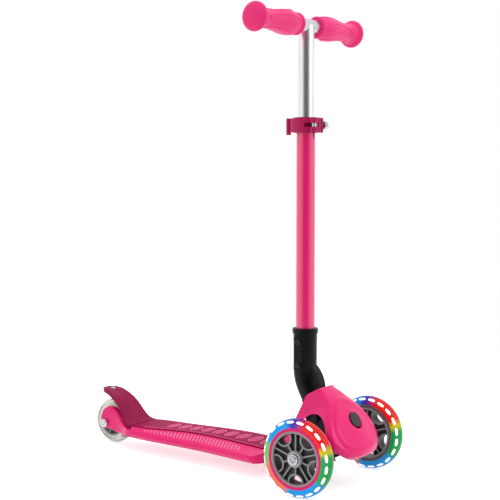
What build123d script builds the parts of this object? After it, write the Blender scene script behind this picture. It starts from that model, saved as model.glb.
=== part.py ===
from build123d import *
from math import atan2, cos, degrees, radians, sin
import os

os.makedirs("parts", exist_ok=True)

# Driving sizes in mm. X points forward, Y to the rider's left, Z up from the floor.
wheelbase = 468.0
front_wheel_d = 121.0
front_wheel_w = 24.0
track = 216.0
rear_wheel_d = 80.0
rear_wheel_w = 22.0
bar_height = 721.0
bar_reach = 147.0
column_setback = 58.0
head_tilt = 28.0
button_lead = 35.7
button_height = 105.0

# Fits and gaps; lap is how far fused shapes run into each other
run_gap = 0.05
seat_gap = 0.05
body_gap = 0.4
screw_gap = 0.1
bush_gap = 0.3
lap = 1.0

# Rolling gear
bearing_r = 11.0
bearing_bore_r = 4.0
bearing_w = 7.0
axle_r = bearing_bore_r - run_gap
hub_r = 13.0
hub_half = 11.0
core_r = 9.3
cavity_r = 10.2
rim_in_r = 39.0
rim_out_r = 42.5
light_ring_r = 46.4
tyre_shoulder_r = 52.0
spoke_count = 5
spoke_w = 2.4
spoke_depth = 16.0
web_t = 3.0
arch_at_r = 37.0
arch_r = 13.0
rear_rim_r = 27.0
rear_rim_t = 3.0
rear_shoulder_r = 33.0
tyre_draft = 1.0
cap_t = 2.0
cap_lift = 0.2
cap_hole_r = 9.0
cap_round = 0.8

# Axle beam and its bolts
beam_inset = 22.0
beam_root_y = 8.0
beam_root_w = 26.0
beam_root_h = 23.0
beam_tip = 18.0
beam_round = 6.0
boss_r = 9.0
boss_back = 4.0
nose_r = 6.0
nose_len = 2.0
bolt_reach = 38.0
bolt_end_gap = 2.0
bolt_head_r = 8.0
bolt_head_h = 4.0

# Head, in the tilted frame of its face: n out of the face, u up along it, from the button's centre
pivot_n = -54.0
pivot_u = 28.0
arm_n = -56.0
arm_r = 19.0
tongue_r = 16.0
tongue_half = 14.5
cheek_r = 17.0
cheek_in = tongue_half + body_gap
cheek_out = 23.5
box_front = -18.0
box_rear = -86.0
front_wall = 8.0
rear_wall = 8.0
box_low = -41.0
box_top = 4.0
chassis_floor = 30.0
egg_rear = -110.0
dome_r = 165.0
dome_u = -24.0
dome_n = 1.6
rim_round = 8.0
top_cut = 66.0
skin = 3.0
inner_share = 0.955
boss_len = 11.4
housing_screw_len = 12.4
slot_half = 20.6
slot_n = -55.0
fin_slot_half = 9.0
fin_slot_n = -30.0
slot_low = 20.0
rear_edge_x = -44.0
rear_edge_z = 134.0
rear_edge_run = 40.0
rear_edge_drop = 120.0
rear_edge_lead = 20.0
rear_edge_rise = 60.0
skirt_z = 44.0
arch_x = -11.0
arch_half = 33.0
arch_top = 114.0
bezel_r = 15.5
bezel_depth = 2.0
pin_r = 5.0
pin_head_r = 8.5
pin_head_h = 6.0
pin_nut_r = 9.0
pin_nut_h = 6.0
pin_end = 1.0
hub_len = 38.0
hub_boss_r = 14.2
bush_r = 12.5
window_w = 31.0
window_h = 40.0
window_round = 5.0
wall_top = 22.0
face_plate_n = -22.0
face_plate_u = -10.0
face_plate_w = 54.0
face_plate_h = 38.0
face_plate_t = 3.0
latch_n = -29.5
latch_u = 12.0
latch_pin_r = 2.0
lug_in = 5.4
lug_t = 5.0
lug_w = 8.0
lug_h = 9.0
pawl_front = -27.0
pawl_back = -32.0
pawl_low = -4.0
pawl_top = 25.0
pawl_half = 5.0
hook_n = -40.0
hook_low = 21.0
hook_root = 18.5
groove_r = 13.2
groove_half = 5.6
chassis_screw_r = 2.0
chassis_head_r = 2.8
chassis_head_h = 2.5
chassis_screws_at = ((-11, -9), (11, -9), (-11, -36), (11, -36))
chassis_screw_reach = 9.0
housing_screws_at = ((-42, -10), (42, -10), (-30, 14), (30, 14))
housing_screw_r = 1.5
housing_head_r = 3.2
housing_head_h = 2.2
boss_out_r = 4.2
button_r = 12.4
button_t = 7.0
button_proud = 1.0
button_round = 1.2
button_travel = 3.0
push_r = 4.0
push_end = -23.0
tip_r = 1.5
tip_end = -26.7
spring_r = 6.8
spring_bore_r = 4.6

# Column and handlebar
column_r = 15.0
column_bore_r = 13.5
column_foot = 180.0
column_top = 574.0
socket_top = 242.0
socket_lip_r = 20.5
socket_lip_h = 8.0
lip_round = 1.5
bend_run = 17.5
arm_below_elbow = 22.0
tongue_lap = 12.0
fin_half = 8.0
fin_sink = 3.0
fin_top_z = 184.0
fin_nose_back = 30.0
fin_nose_z = 169.0
fin_low_back = 24.0
fin_low_z = 148.0
fin_tip_back = 27.0
fin_tip_z = 138.0
fin_root_back = 50.0
fin_root_z = 140.0
arm_bolt_z = (221.0, 183.0)
arm_bolt_r = 2.5
arm_bolt_x = -0.5
arm_head_r = 5.0
arm_head_h = 1.8
arm_nut_h = 1.4
pad_face = 19.8
pad_root = 14.0
pad_w = 15.0
pad_h = 56.0
pad_round = 5.0
slit_w = 3.0
slit_depth = 30.0
bush_len = 44.0
stem_r = 12.7
stem_bore_r = 11.2
stem_foot = 452.0
mark_low = 5.0
mark_top = 17.0
mark_w = 1.0
mark_depth = 0.3
cross_r = 11.1
cross_wall = 1.5
cross_inset = 9.0
grip_len = 120.0
grip_end_t = 8.5
clamp_down = 9.5
clamp_h = 23.0
clamp_lip = 3.0
collar_r = 19.0
ear_x = 24.5
ear_half = 8.0
ear_back = 16.5
ear_front = 4.5
ear_round = 3.5
clamp_bolt_r = 2.5
thumb_nut_r = 7.2
thumb_nut_h = 9.0
bolt_proud = 7.0
barrel_len = 19.0
lever_h = 22.0
lever_slot = 6.4
lever_lead = 6.0
lever_end = -142.0
tail_r = 3.8
tail_at_r = 27.5
tail_drop = 4.0
cam_y = -15.0
cam_r = 6.5
barrel_r = 4.0
lever_in = 20.4
lever_out = 26.5

# Deck, brake and rear fork
deck_floor = 24.3
deck_under = 22.0
deck_chine = 30.0
chine_in = 6.0
side_round = 3.5
deck_rear = 68.0
deck_front = -104.0
deck_front_half = 67.0
deck_rear_half = 41.0
corner_r = 28.0
nose_half = 33.0
nut_room = 2.5
pad_t = 2.0
pad_inset = 0.5
pad_rear_gap = 1.0
pad_front_gap = 7.0
pad_wide = 84.0
pad_corner = 16.0
pad_square = 45.0
deck_drawn = 296.0
under_pockets = ((55, 27), (105, 29), (160, 31), (215, 36))
pocket_len = 44.0
pocket_depth = 14.0
pocket_round = 6.0
fork_in = 15.5
fork_out = 27.5
fork_round = 4.0
rear_head_r = 7.0
rear_head_h = 4.5
rear_nut_r = 7.5
rear_nut_h = 5.0
axle_proud = 4.0
spacer_r = 6.4
bead_r = 3.5
bead_x = 65.0
bead_z = 41.0
brake_half = 36.0
brake_round = 1.5
brake_seat_z = 97.0
brake_screw_x = -6.0
brake_screw_r = 2.0
brake_screw_len = 8.0
brake_head_r = 4.3
brake_head_h = 2.4
brake_sink_r = 4.8
shoe_gap = 4.5
shoe_from = 16.0
shoe_to = 70.0
rub_t = 1.4
rub_half = 10.0
rub_from = 24.0
rub_sweep = 36.0

# Places worked out from the driving sizes; the box around the whole scooter is centred on X = 0
front_r = front_wheel_d / 2
rear_r = rear_wheel_d / 2
front_x = (wheelbase + rear_r - front_r) / 2
rear_x = front_x - wheelbase
column_x = front_x - column_setback
tilt = radians(head_tilt)
face_out = (cos(tilt), 0, sin(tilt))
button_at = (front_x + button_lead, 0, button_height)
head_face = Plane(origin=button_at, x_dir=(0, 1, 0), z_dir=face_out)
head_side = Plane(origin=button_at, x_dir=face_out, z_dir=(0, -1, 0))
axle_n = -button_lead * cos(tilt) + (front_r - button_height) * sin(tilt)
axle_u = button_lead * sin(tilt) + (front_r - button_height) * cos(tilt)
beam_end = track / 2 - beam_inset
hub_face = track / 2 - hub_half
clamp_z = column_top - clamp_down
column_axis = (column_x, 0)
arm_bolts_at = [(column_x + arm_bolt_x, z) for z in arm_bolt_z]
clamp_bolt_at = (column_x + ear_x, clamp_z)
latch_at = (latch_n, latch_u)
pivot_at = (pivot_n, pivot_u)
kingpin_at = (0, axle_u)
rear_axle_at = (rear_x, rear_r)
shoe_r = rear_r + shoe_gap
bead_at = (rear_x + bead_x, bead_z)
through = wheelbase


def out_plane(x, y, z, side):
    """Sketch plane through a Y axle: local x runs along the axle, away from the scooter, local y up."""
    return Plane(origin=(x, y, z), x_dir=(0, side, 0), z_dir=(side, 0, 0))


def wheel_face(x, y, z, side):
    """Sketch plane across a Y axle, seen from outside the scooter."""
    return Plane(origin=(x, y, z), x_dir=(-side, 0, 0), z_dir=(0, side, 0))


def y_axis(x, z):
    return Axis((x, 0, z), (0, 1, 0))


def face_at(n):
    return head_face.offset(n)


def ring_profile(half_w, r_in, r_out):
    """Section of a plain ring about local X, centred on the plane's origin."""
    with Locations((0, (r_in + r_out) / 2)):
        Rectangle(2 * half_w, r_out - r_in)


# Front wheels: rim with spokes, light ring, clear tyre, two bearings and a dust cap each
for side, side_name in ((-1, "right"), (1, "left")):
    wheel_y = side * track / 2
    section = out_plane(front_x, wheel_y, front_r, side)
    disc = wheel_face(front_x, wheel_y, front_r, side)
    axis = y_axis(front_x, front_r)

    with BuildPart() as tyre:
        with BuildSketch(section):
            with BuildLine():
                half = front_wheel_w / 2
                foot = light_ring_r + seat_gap
                Polyline(
                    (-half, tyre_shoulder_r),
                    (tyre_draft - half, foot),
                    (half - tyre_draft, foot),
                    (half, tyre_shoulder_r),
                )
                ThreePointArc((half, tyre_shoulder_r), (0, front_r), (-half, tyre_shoulder_r))
            make_face()
        revolve(axis=axis)
    tyre.part.label = f"{side_name}_tyre"
    export_step(tyre.part, f"parts/{side_name}_tyre.step")

    with BuildPart() as light_ring:
        with BuildSketch(section):
            ring_profile(hub_half, rim_out_r + seat_gap, light_ring_r)
        revolve(axis=axis)
    light_ring.part.label = f"{side_name}_light_ring"
    export_step(light_ring.part, f"parts/{side_name}_light_ring.step")

    with BuildPart() as rim:
        with BuildSketch(section):
            ring_profile(hub_half, rim_in_r, rim_out_r)
            ring_profile(hub_half, cavity_r, hub_r)
        revolve(axis=axis)
        with BuildSketch(disc.offset(-web_t / 2)):
            Circle(rim_in_r + lap)
            Circle(hub_r - lap, mode=Mode.SUBTRACT)
            with PolarLocations(arch_at_r, spoke_count, start_angle=54):
                Circle(arch_r, mode=Mode.SUBTRACT)
        extrude(amount=web_t)
        with BuildSketch(disc.offset(-spoke_depth / 2)):
            with PolarLocations((hub_r + rim_in_r) / 2, spoke_count, start_angle=90):
                Rectangle(rim_in_r - hub_r + 2 * lap, spoke_w)
            with PolarLocations((hub_r + arch_at_r - arch_r) / 2, spoke_count, start_angle=54):
                Rectangle(arch_at_r - arch_r - hub_r + 2 * lap, spoke_w)
            with PolarLocations(arch_at_r, spoke_count, start_angle=54):
                Circle(arch_r + spoke_w / 2)
                Circle(arch_r - spoke_w / 2, mode=Mode.SUBTRACT)
            Circle(rim_in_r + lap, mode=Mode.INTERSECT)
        extrude(amount=spoke_depth)
        for inner in (-hub_half, hub_half - bearing_w):
            with BuildSketch(disc.offset(inner)):
                Circle(bearing_r)
            extrude(amount=bearing_w, mode=Mode.SUBTRACT)
    rim.part.label = f"{side_name}_rim"
    export_step(rim.part, f"parts/{side_name}_rim.step")

    with BuildPart() as bearings:
        for inner in (-hub_half, hub_half - bearing_w):
            with BuildSketch(section):
                with Locations((inner + bearing_w / 2, 0)):
                    ring_profile(bearing_w / 2, bearing_bore_r, bearing_r - seat_gap)
            revolve(axis=axis)
    bearings.part.label = f"{side_name}_bearings"
    export_step(bearings.part, f"parts/{side_name}_bearings.step")

    with BuildPart() as dust_cap:
        with BuildSketch(section):
            with Locations((hub_half + cap_lift + cap_t / 2, 0)):
                ring_profile(cap_t / 2, cap_hole_r, hub_r - lap)
        revolve(axis=axis)
        outer_edges = dust_cap.edges().group_by(Axis.Y)[0 if side < 0 else -1]
        fillet(outer_edges.sort_by(SortBy.LENGTH)[-1:], cap_round)
    dust_cap.part.label = f"{side_name}_dust_cap"
    export_step(dust_cap.part, f"parts/{side_name}_dust_cap.step")

# Rear wheel: clear tyre, rim and two bearings
rear_section = out_plane(rear_x, 0, rear_r, 1)
rear_disc = wheel_face(rear_x, 0, rear_r, 1)
rear_axis = y_axis(rear_x, rear_r)

with BuildPart() as rear_tyre:
    with BuildSketch(rear_section):
        with BuildLine():
            half = rear_wheel_w / 2
            foot = rear_rim_r + seat_gap
            Polyline(
                (-half, rear_shoulder_r),
                (tyre_draft - half, foot),
                (half - tyre_draft, foot),
                (half, rear_shoulder_r),
            )
            ThreePointArc((half, rear_shoulder_r), (0, rear_r), (-half, rear_shoulder_r))
        make_face()
    revolve(axis=rear_axis)
rear_tyre.part.label = "rear_tyre"
export_step(rear_tyre.part, "parts/rear_tyre.step")

with BuildPart() as rear_rim:
    with BuildSketch(rear_section):
        ring_profile(hub_half - lap, rear_rim_r - rear_rim_t, rear_rim_r)
        ring_profile(hub_half, cavity_r, hub_r)
        ring_profile(web_t / 2, hub_r - lap, rear_rim_r - lap)
    revolve(axis=rear_axis)
    with BuildSketch(rear_disc.offset(-spoke_depth / 2)):
        with PolarLocations((hub_r + rear_rim_r) / 2 - lap, spoke_count):
            Rectangle(rear_rim_r - hub_r, spoke_w)
    extrude(amount=spoke_depth)
    for inner in (-hub_half, hub_half - bearing_w):
        with BuildSketch(rear_disc.offset(inner)):
            Circle(bearing_r)
        extrude(amount=bearing_w, mode=Mode.SUBTRACT)
rear_rim.part.label = "rear_rim"
export_step(rear_rim.part, "parts/rear_rim.step")

with BuildPart() as rear_bearings:
    for inner in (-hub_half, hub_half - bearing_w):
        with BuildSketch(rear_section):
            with Locations((inner + bearing_w / 2, 0)):
                ring_profile(bearing_w / 2, bearing_bore_r, bearing_r - seat_gap)
        revolve(axis=rear_axis)
rear_bearings.part.label = "rear_bearings"
export_step(rear_bearings.part, "parts/rear_bearings.step")

# Axle beam: a hub on the kingpin and two tapered arms out to the front wheels
beam_plane = Plane(origin=(front_x, 0, front_r), x_dir=face_out, z_dir=(0, -1, 0))
with BuildPart() as axle_beam:
    with BuildSketch(face_at(axle_n - hub_len / 2)):
        with Locations((0, axle_u)):
            Circle(hub_boss_r)
    extrude(amount=hub_len)
    for side in (-1, 1):
        with BuildSketch(beam_plane.offset(side * beam_root_y)):
            RectangleRounded(beam_root_w, beam_root_h, beam_round)
        with BuildSketch(beam_plane.offset(side * beam_end)):
            RectangleRounded(beam_tip, beam_tip, beam_round)
        loft()
        with BuildSketch(beam_plane.offset(side * (beam_end - boss_back))):
            Circle(boss_r)
        extrude(amount=side * (hub_face - lap - beam_end + boss_back))
        with BuildSketch(beam_plane.offset(side * (hub_face - nose_len))):
            Circle(nose_r)
        extrude(amount=side * (nose_len - body_gap))
        with BuildSketch(beam_plane.offset(side * (beam_end - bolt_reach - bolt_end_gap))):
            Circle(axle_r + screw_gap)
        extrude(amount=side * (hub_face - beam_end + bolt_reach + bolt_end_gap), mode=Mode.SUBTRACT)
    with BuildSketch(face_at(axle_n - hub_len / 2 - lap)):
        with Locations(kingpin_at):
            Circle(pin_r + run_gap)
    extrude(amount=hub_len + 2 * lap, mode=Mode.SUBTRACT)
axle_beam.part.label = "axle_beam"
export_step(axle_beam.part, "parts/axle_beam.step")

# Front axle bolts, one per wheel, with a wide round head against the dust cap's opening
with BuildPart() as front_axle_bolts:
    for side in (-1, 1):
        bolt_from = beam_end - bolt_reach
        head_from = track / 2 + hub_half + body_gap
        with BuildSketch(beam_plane.offset(side * bolt_from)):
            Circle(axle_r)
        extrude(amount=side * (head_from + lap - bolt_from))
        with BuildSketch(beam_plane.offset(side * head_from)):
            Circle(bolt_head_r)
        extrude(amount=side * bolt_head_h)
front_axle_bolts.part.label = "front_axle_bolts"
export_step(front_axle_bolts.part, "parts/front_axle_bolts.step")

# Generator cores sit on the axles between the bearings and light the ring as the wheel turns
with BuildPart() as generator_cores:
    for side in (-1, 1):
        with BuildSketch(out_plane(front_x, side * track / 2, front_r, side)):
            ring_profile(hub_half - bearing_w - body_gap, axle_r + screw_gap, core_r)
        revolve(axis=y_axis(front_x, front_r))
generator_cores.part.label = "generator_cores"
export_step(generator_cores.part, "parts/generator_cores.step")

# Front chassis: the black box inside the head that carries the kingpin, the fold hinge and the latch
with BuildPart() as front_chassis:
    with BuildSketch(head_side):
        with Locations(((box_front + box_rear) / 2, (box_low + box_top) / 2)):
            Rectangle(box_front - box_rear, box_top - box_low)
        with Locations((pivot_n, (box_top + pivot_u) / 2)):
            Rectangle(2 * cheek_r, pivot_u - box_top + lap)
        with Locations(pivot_at):
            Circle(cheek_r)
        with Locations((box_front - front_wall / 2, wall_top / 2)):
            Rectangle(front_wall, wall_top)
    extrude(amount=cheek_out, both=True)
    with BuildSketch(head_side):
        with Locations(((box_front - front_wall + box_rear + rear_wall) / 2, 0)):
            Rectangle(box_front - front_wall - box_rear - rear_wall, through)
    extrude(amount=cheek_in, both=True, mode=Mode.SUBTRACT)
    with BuildSketch(head_side):
        with Locations((axle_n, axle_u)):
            RectangleRounded(window_w, window_h, window_round)
    extrude(amount=through, both=True, mode=Mode.SUBTRACT)
    with BuildSketch(face_at(face_plate_n)):
        with Locations((0, face_plate_u)):
            Ellipse(face_plate_w, face_plate_h)
    extrude(amount=face_plate_t)
    with BuildSketch(face_at(box_rear - lap)):
        with Locations(kingpin_at):
            Circle(pin_r + run_gap)
        with Locations(*chassis_screws_at):
            Circle(chassis_screw_r + screw_gap)
    extrude(amount=rear_wall + 2 * lap, mode=Mode.SUBTRACT)
    with BuildSketch(face_at(box_front - front_wall - lap)):
        with Locations(kingpin_at):
            Circle(pin_r + run_gap)
        Circle(push_r + run_gap)
        with Locations(*housing_screws_at):
            Circle(housing_screw_r + 2 * screw_gap)
    extrude(amount=front_wall + 2 * lap, mode=Mode.SUBTRACT)
    with BuildSketch(Plane.XY):
        Rectangle(2 * through, through)
    extrude(amount=chassis_floor, mode=Mode.SUBTRACT)
    for side in (-1, 1):
        with BuildSketch(head_side.offset(side * lug_in)):
            with Locations(latch_at):
                Rectangle(lug_w, lug_h)
        extrude(amount=side * lug_t)
    with BuildSketch(head_side):
        with Locations((box_front - front_wall / 2, wall_top)):
            Rectangle(front_wall + 2 * lap, 2 * (wall_top - latch_u + latch_pin_r))
    extrude(amount=lug_in, both=True, mode=Mode.SUBTRACT)
    with BuildSketch(head_side):
        with Locations(latch_at):
            Circle(latch_pin_r + run_gap)
    extrude(amount=lug_in + lug_t, both=True, mode=Mode.SUBTRACT)
    with BuildSketch(head_side):
        with Locations(pivot_at):
            Circle(pin_r + run_gap)
    extrude(amount=2 * cheek_out, both=True, mode=Mode.SUBTRACT)
front_chassis.part.label = "front_chassis"
export_step(front_chassis.part, "parts/front_chassis.step")

# Kingpin, its nut and the two rubber steering bushings
with BuildPart() as kingpin:
    with BuildSketch(face_at(box_rear - pin_nut_h - pin_end)):
        with Locations(kingpin_at):
            Circle(pin_r)
    extrude(amount=box_front - box_rear + pin_nut_h + pin_end)
    with BuildSketch(face_at(box_front)):
        with Locations(kingpin_at):
            RegularPolygon(pin_head_r, 6)
    extrude(amount=pin_head_h - pin_end)
kingpin.part.label = "kingpin"
export_step(kingpin.part, "parts/kingpin.step")

with BuildPart() as kingpin_nut:
    with BuildSketch(face_at(box_rear - pin_nut_h)):
        with Locations(kingpin_at):
            RegularPolygon(pin_nut_r, 6)
            Circle(pin_r + seat_gap, mode=Mode.SUBTRACT)
    extrude(amount=pin_nut_h)
kingpin_nut.part.label = "kingpin_nut"
export_step(kingpin_nut.part, "parts/kingpin_nut.step")

rear_bush = box_rear + rear_wall
front_bush = axle_n + hub_len / 2 + bush_gap
with BuildPart() as steering_bushings:
    for start, length in (
        (rear_bush, axle_n - hub_len / 2 - bush_gap - rear_bush),
        (front_bush, box_front - front_wall - front_bush),
    ):
        with BuildSketch(face_at(start)):
            with Locations(kingpin_at):
                Circle(bush_r)
                Circle(pin_r + screw_gap, mode=Mode.SUBTRACT)
        extrude(amount=length)
steering_bushings.part.label = "steering_bushings"
export_step(steering_bushings.part, "parts/steering_bushings.step")

# Front housing: the pink egg-shaped cover, open at the back, at the top for the arm and underneath
# Half of its outline from the top down: y to the side, u up the face
egg_outline = ((21, 64), (31, 42), (46, 22), (62, -2), (66, -22), (44, -50))
egg_top = 84.0
egg_low = -57.5
egg_front = 10.0
under_cut = ((-17, -90), (-17, -42), (-30, -24), (-160, -24), (-160, -90))


def egg_prism(scale, face_r, face_n):
    """Egg-shaped bar along the face normal, with a domed front."""
    with BuildPart() as prism:
        with BuildSketch(face_at(egg_rear)):
            with BuildLine():
                left = [(-scale * y, scale * u) for y, u in egg_outline]
                right = [(scale * y, scale * u) for y, u in reversed(egg_outline)]
                Spline((0, scale * egg_top), *left, (0, scale * egg_low), *right, periodic=True)
            make_face()
        extrude(amount=egg_front - egg_rear)
        with Locations(head_side.from_local_coords((face_n - face_r, dome_u, 0))):
            Sphere(face_r, mode=Mode.INTERSECT)
    return prism.part


egg_outside = egg_prism(1.0, dome_r, dome_n)
egg_inside = egg_prism(inner_share, dome_r - skin, dome_n - skin)
slot_plane = Plane(origin=button_at, x_dir=face_out, z_dir=(-sin(tilt), 0, cos(tilt)))
with BuildPart() as roof_slab:
    add(egg_outside)
    with BuildSketch(head_side):
        with Locations((0, top_cut - skin / 2)):
            Rectangle(through, skin)
    extrude(amount=through, both=True, mode=Mode.INTERSECT)
roof = roof_slab.part
with BuildPart() as front_housing:
    add(egg_outside)
    dome_edge = front_housing.faces().filter_by(GeomType.SPHERE).sort_by(Axis.X)[-1].edges()
    fillet(dome_edge, rim_round)
    add(egg_inside, mode=Mode.SUBTRACT)
    with BuildSketch(head_side):
        with Locations((0, top_cut + egg_top)):
            Rectangle(through, 2 * egg_top)
        with BuildLine():
            Polyline(*under_cut, close=True)
        make_face()
    extrude(amount=through, both=True, mode=Mode.SUBTRACT)
    add(roof)
    with BuildSketch(face_at(face_plate_n + face_plate_t + screw_gap)):
        with Locations(*housing_screws_at):
            Circle(boss_out_r)
            Circle(housing_screw_r + screw_gap, mode=Mode.SUBTRACT)
    extrude(amount=boss_len)
    with BuildSketch(slot_plane.offset(slot_low)):
        with Locations((slot_n, 0)):
            Circle(slot_half)
        with Locations((slot_n - through / 2, 0)):
            Rectangle(through, 2 * slot_half)
        with Locations((fin_slot_n - egg_top / 2, 0)):
            Rectangle(egg_top, 2 * fin_slot_half)
    extrude(amount=egg_top, mode=Mode.SUBTRACT)
    with BuildSketch(Plane.XZ):
        with Locations((front_x + arch_x, arch_top - arch_half)):
            Circle(arch_half)
        with Locations((front_x + arch_x, (arch_top - arch_half) / 2)):
            Rectangle(2 * arch_half, arch_top - arch_half)
        with BuildLine():
            Polyline(
                (front_x + rear_edge_x, rear_edge_z),
                (front_x + rear_edge_x - rear_edge_run, rear_edge_z - rear_edge_drop),
                (front_x - through, rear_edge_z - rear_edge_drop),
                (front_x - through, rear_edge_z + rear_edge_rise),
                (front_x + rear_edge_x + rear_edge_lead, rear_edge_z + rear_edge_rise),
                close=True,
            )
        make_face()
    extrude(amount=through, both=True, mode=Mode.SUBTRACT)
    with BuildSketch(Plane.XY):
        Rectangle(2 * through, through)
    extrude(amount=skirt_z, mode=Mode.SUBTRACT)
    with BuildSketch(face_at(-bezel_depth)):
        Circle(bezel_r)
    extrude(amount=2 * bezel_depth, mode=Mode.SUBTRACT)
    with BuildSketch(face_at(button_proud - button_t - bezel_depth)):
        Circle(button_r + body_gap)
    extrude(amount=button_t + bezel_depth, mode=Mode.SUBTRACT)
front_housing.part.label = "front_housing"
export_step(front_housing.part, "parts/front_housing.step")

with BuildPart() as housing_screws:
    with BuildSketch(face_at(face_plate_n)):
        with Locations(*housing_screws_at):
            Circle(housing_screw_r)
    extrude(amount=housing_screw_len)
    with BuildSketch(face_at(face_plate_n)):
        with Locations(*housing_screws_at):
            Circle(housing_head_r)
    extrude(amount=-housing_head_h)
housing_screws.part.label = "housing_screws"
export_step(housing_screws.part, "parts/housing_screws.step")

# Fold button: a domed cap on a stem whose tip pushes the latch pawl
cap_back = button_proud - button_t
with BuildPart() as fold_button:
    with BuildSketch(face_at(cap_back)):
        Circle(button_r)
    extrude(amount=button_t)
    fillet(fold_button.edges().sort_by(Axis(button_at, face_out))[-1], button_round)
    with BuildSketch(face_at(push_end)):
        Circle(push_r)
    extrude(amount=cap_back + lap - push_end)
    with BuildSketch(face_at(tip_end)):
        Circle(tip_r)
    extrude(amount=push_end + lap - tip_end)
fold_button.part.label = "fold_button"
export_step(fold_button.part, "parts/fold_button.step")

# The button's spring is a plain tube at its pressed length, between the chassis wall and the cap
spring_foot = box_front + 2 * screw_gap
with BuildPart() as button_spring:
    with BuildSketch(face_at(spring_foot)):
        Circle(spring_r)
        Circle(spring_bore_r, mode=Mode.SUBTRACT)
    extrude(amount=cap_back - button_travel - body_gap - spring_foot)
button_spring.part.label = "button_spring"
export_step(button_spring.part, "parts/button_spring.step")

# Latch pawl: pushed at its tail by the button, it swings its hook out of the arm's groove
with BuildPart() as latch_pawl:
    with BuildSketch(head_side):
        with BuildLine():
            Polyline(
                (pawl_back, pawl_low),
                (pawl_front, pawl_low),
                (pawl_front, pawl_top),
                (hook_n, pawl_top),
                (hook_n, hook_low),
                (pawl_back, hook_root),
                close=True,
            )
        make_face()
        with Locations(latch_at):
            Circle(latch_pin_r + run_gap, mode=Mode.SUBTRACT)
    extrude(amount=pawl_half, both=True)
latch_pawl.part.label = "latch_pawl"
export_step(latch_pawl.part, "parts/latch_pawl.step")

with BuildPart() as latch_pin:
    with BuildSketch(head_side):
        with Locations(latch_at):
            Circle(latch_pin_r)
    extrude(amount=lug_in + lug_t - 2 * screw_gap, both=True)
latch_pin.part.label = "latch_pin"
export_step(latch_pin.part, "parts/latch_pin.step")

# Fold hinge pin through the cheeks, with a head on one side and a nut on the other
with BuildPart() as fold_pin:
    with BuildSketch(head_side):
        with Locations(pivot_at):
            Circle(pin_r)
    extrude(amount=cheek_out + pin_head_h, both=True)
    with BuildSketch(head_side.offset(cheek_out)):
        with Locations(pivot_at):
            Circle(pin_head_r)
    extrude(amount=pin_head_h)
fold_pin.part.label = "fold_pin"
export_step(fold_pin.part, "parts/fold_pin.step")

with BuildPart() as fold_pin_nut:
    with BuildSketch(head_side.offset(-cheek_out)):
        with Locations(pivot_at):
            RegularPolygon(pin_head_r, 6)
            Circle(pin_r + seat_gap, mode=Mode.SUBTRACT)
    extrude(amount=pin_end - pin_head_h)
fold_pin_nut.part.label = "fold_pin_nut"
export_step(fold_pin_nut.part, "parts/fold_pin_nut.step")

# Hinge arm: the black elbow from the fold hinge up to the socket that holds the column
elbow_u = (column_setback + button_lead + arm_n * cos(tilt)) / sin(tilt)
elbow_z = button_height + arm_n * sin(tilt) + elbow_u * cos(tilt)
arm_low_u = pivot_u + arm_below_elbow
arm_low = head_side.from_local_coords((arm_n, arm_low_u, 0))
bend_low = head_side.from_local_coords((arm_n, elbow_u - bend_run, 0))
fin_top = (column_x + arm_r - fin_sink, fin_top_z)
fin_nose = (front_x - fin_nose_back, fin_nose_z)
fin_low = (front_x - fin_low_back, fin_low_z)
fin_tip = (front_x - fin_tip_back, fin_tip_z)
fin_root = (front_x - fin_root_back, fin_root_z)
with BuildPart() as hinge_arm:
    with BuildLine():
        drop = Line((column_x, 0, socket_top), (column_x, 0, elbow_z + bend_run))
        bend = TangentArc(drop @ 1, bend_low, tangent=drop % 1)
        Line(bend @ 1, arm_low)
    with BuildSketch(Plane(origin=(column_x, 0, socket_top), z_dir=(0, 0, -1))):
        Circle(arm_r)
    sweep()
    with BuildSketch(Plane.XY.offset(socket_top - socket_lip_h)):
        with Locations(column_axis):
            Circle(socket_lip_r)
    extrude(amount=socket_lip_h)
    fillet(hinge_arm.edges().group_by(Axis.Z)[-1], lip_round)
    with BuildSketch(head_side):
        with Locations((pivot_n, (pivot_u + arm_low_u + tongue_lap) / 2)):
            Rectangle(2 * tongue_r, arm_low_u + tongue_lap - pivot_u)
        with Locations(pivot_at):
            Circle(tongue_r)
    extrude(amount=tongue_half, both=True)
    with BuildSketch(Plane.XZ):
        with BuildLine():
            ThreePointArc(fin_top, fin_nose, fin_low)
            Polyline(fin_low, fin_tip, fin_root, fin_top)
        make_face()
    extrude(amount=fin_half, both=True)
    for side in (-1, 1):
        with BuildSketch(Plane.XZ.offset(-side * pad_root)):
            with Locations((column_x + arm_bolt_x, sum(arm_bolt_z) / 2)):
                RectangleRounded(pad_w, pad_h, pad_round)
        extrude(amount=-side * (pad_face - pad_root))
    with BuildSketch(Plane.XY.offset(column_foot - 2 * screw_gap)):
        with Locations(column_axis):
            Circle(column_r + seat_gap)
    extrude(amount=column_top - column_foot, mode=Mode.SUBTRACT)
    with BuildSketch(Plane.XZ):
        with Locations(*arm_bolts_at):
            Circle(arm_bolt_r + screw_gap)
    extrude(amount=2 * pad_face, both=True, mode=Mode.SUBTRACT)
    with BuildSketch(head_side):
        with Locations(pivot_at):
            Circle(pin_r + run_gap)
    extrude(amount=2 * cheek_out, both=True, mode=Mode.SUBTRACT)
    with BuildSketch(head_side):
        with Locations(pivot_at):
            Circle(arm_r + pin_r)
            Circle(groove_r, mode=Mode.SUBTRACT)
        with Locations((pivot_n, pivot_u + arm_r)):
            Rectangle(4 * arm_r, 2 * arm_r, mode=Mode.SUBTRACT)
    extrude(amount=groove_half, both=True, mode=Mode.SUBTRACT)
hinge_arm.part.label = "hinge_arm"
export_step(hinge_arm.part, "parts/hinge_arm.step")

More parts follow.
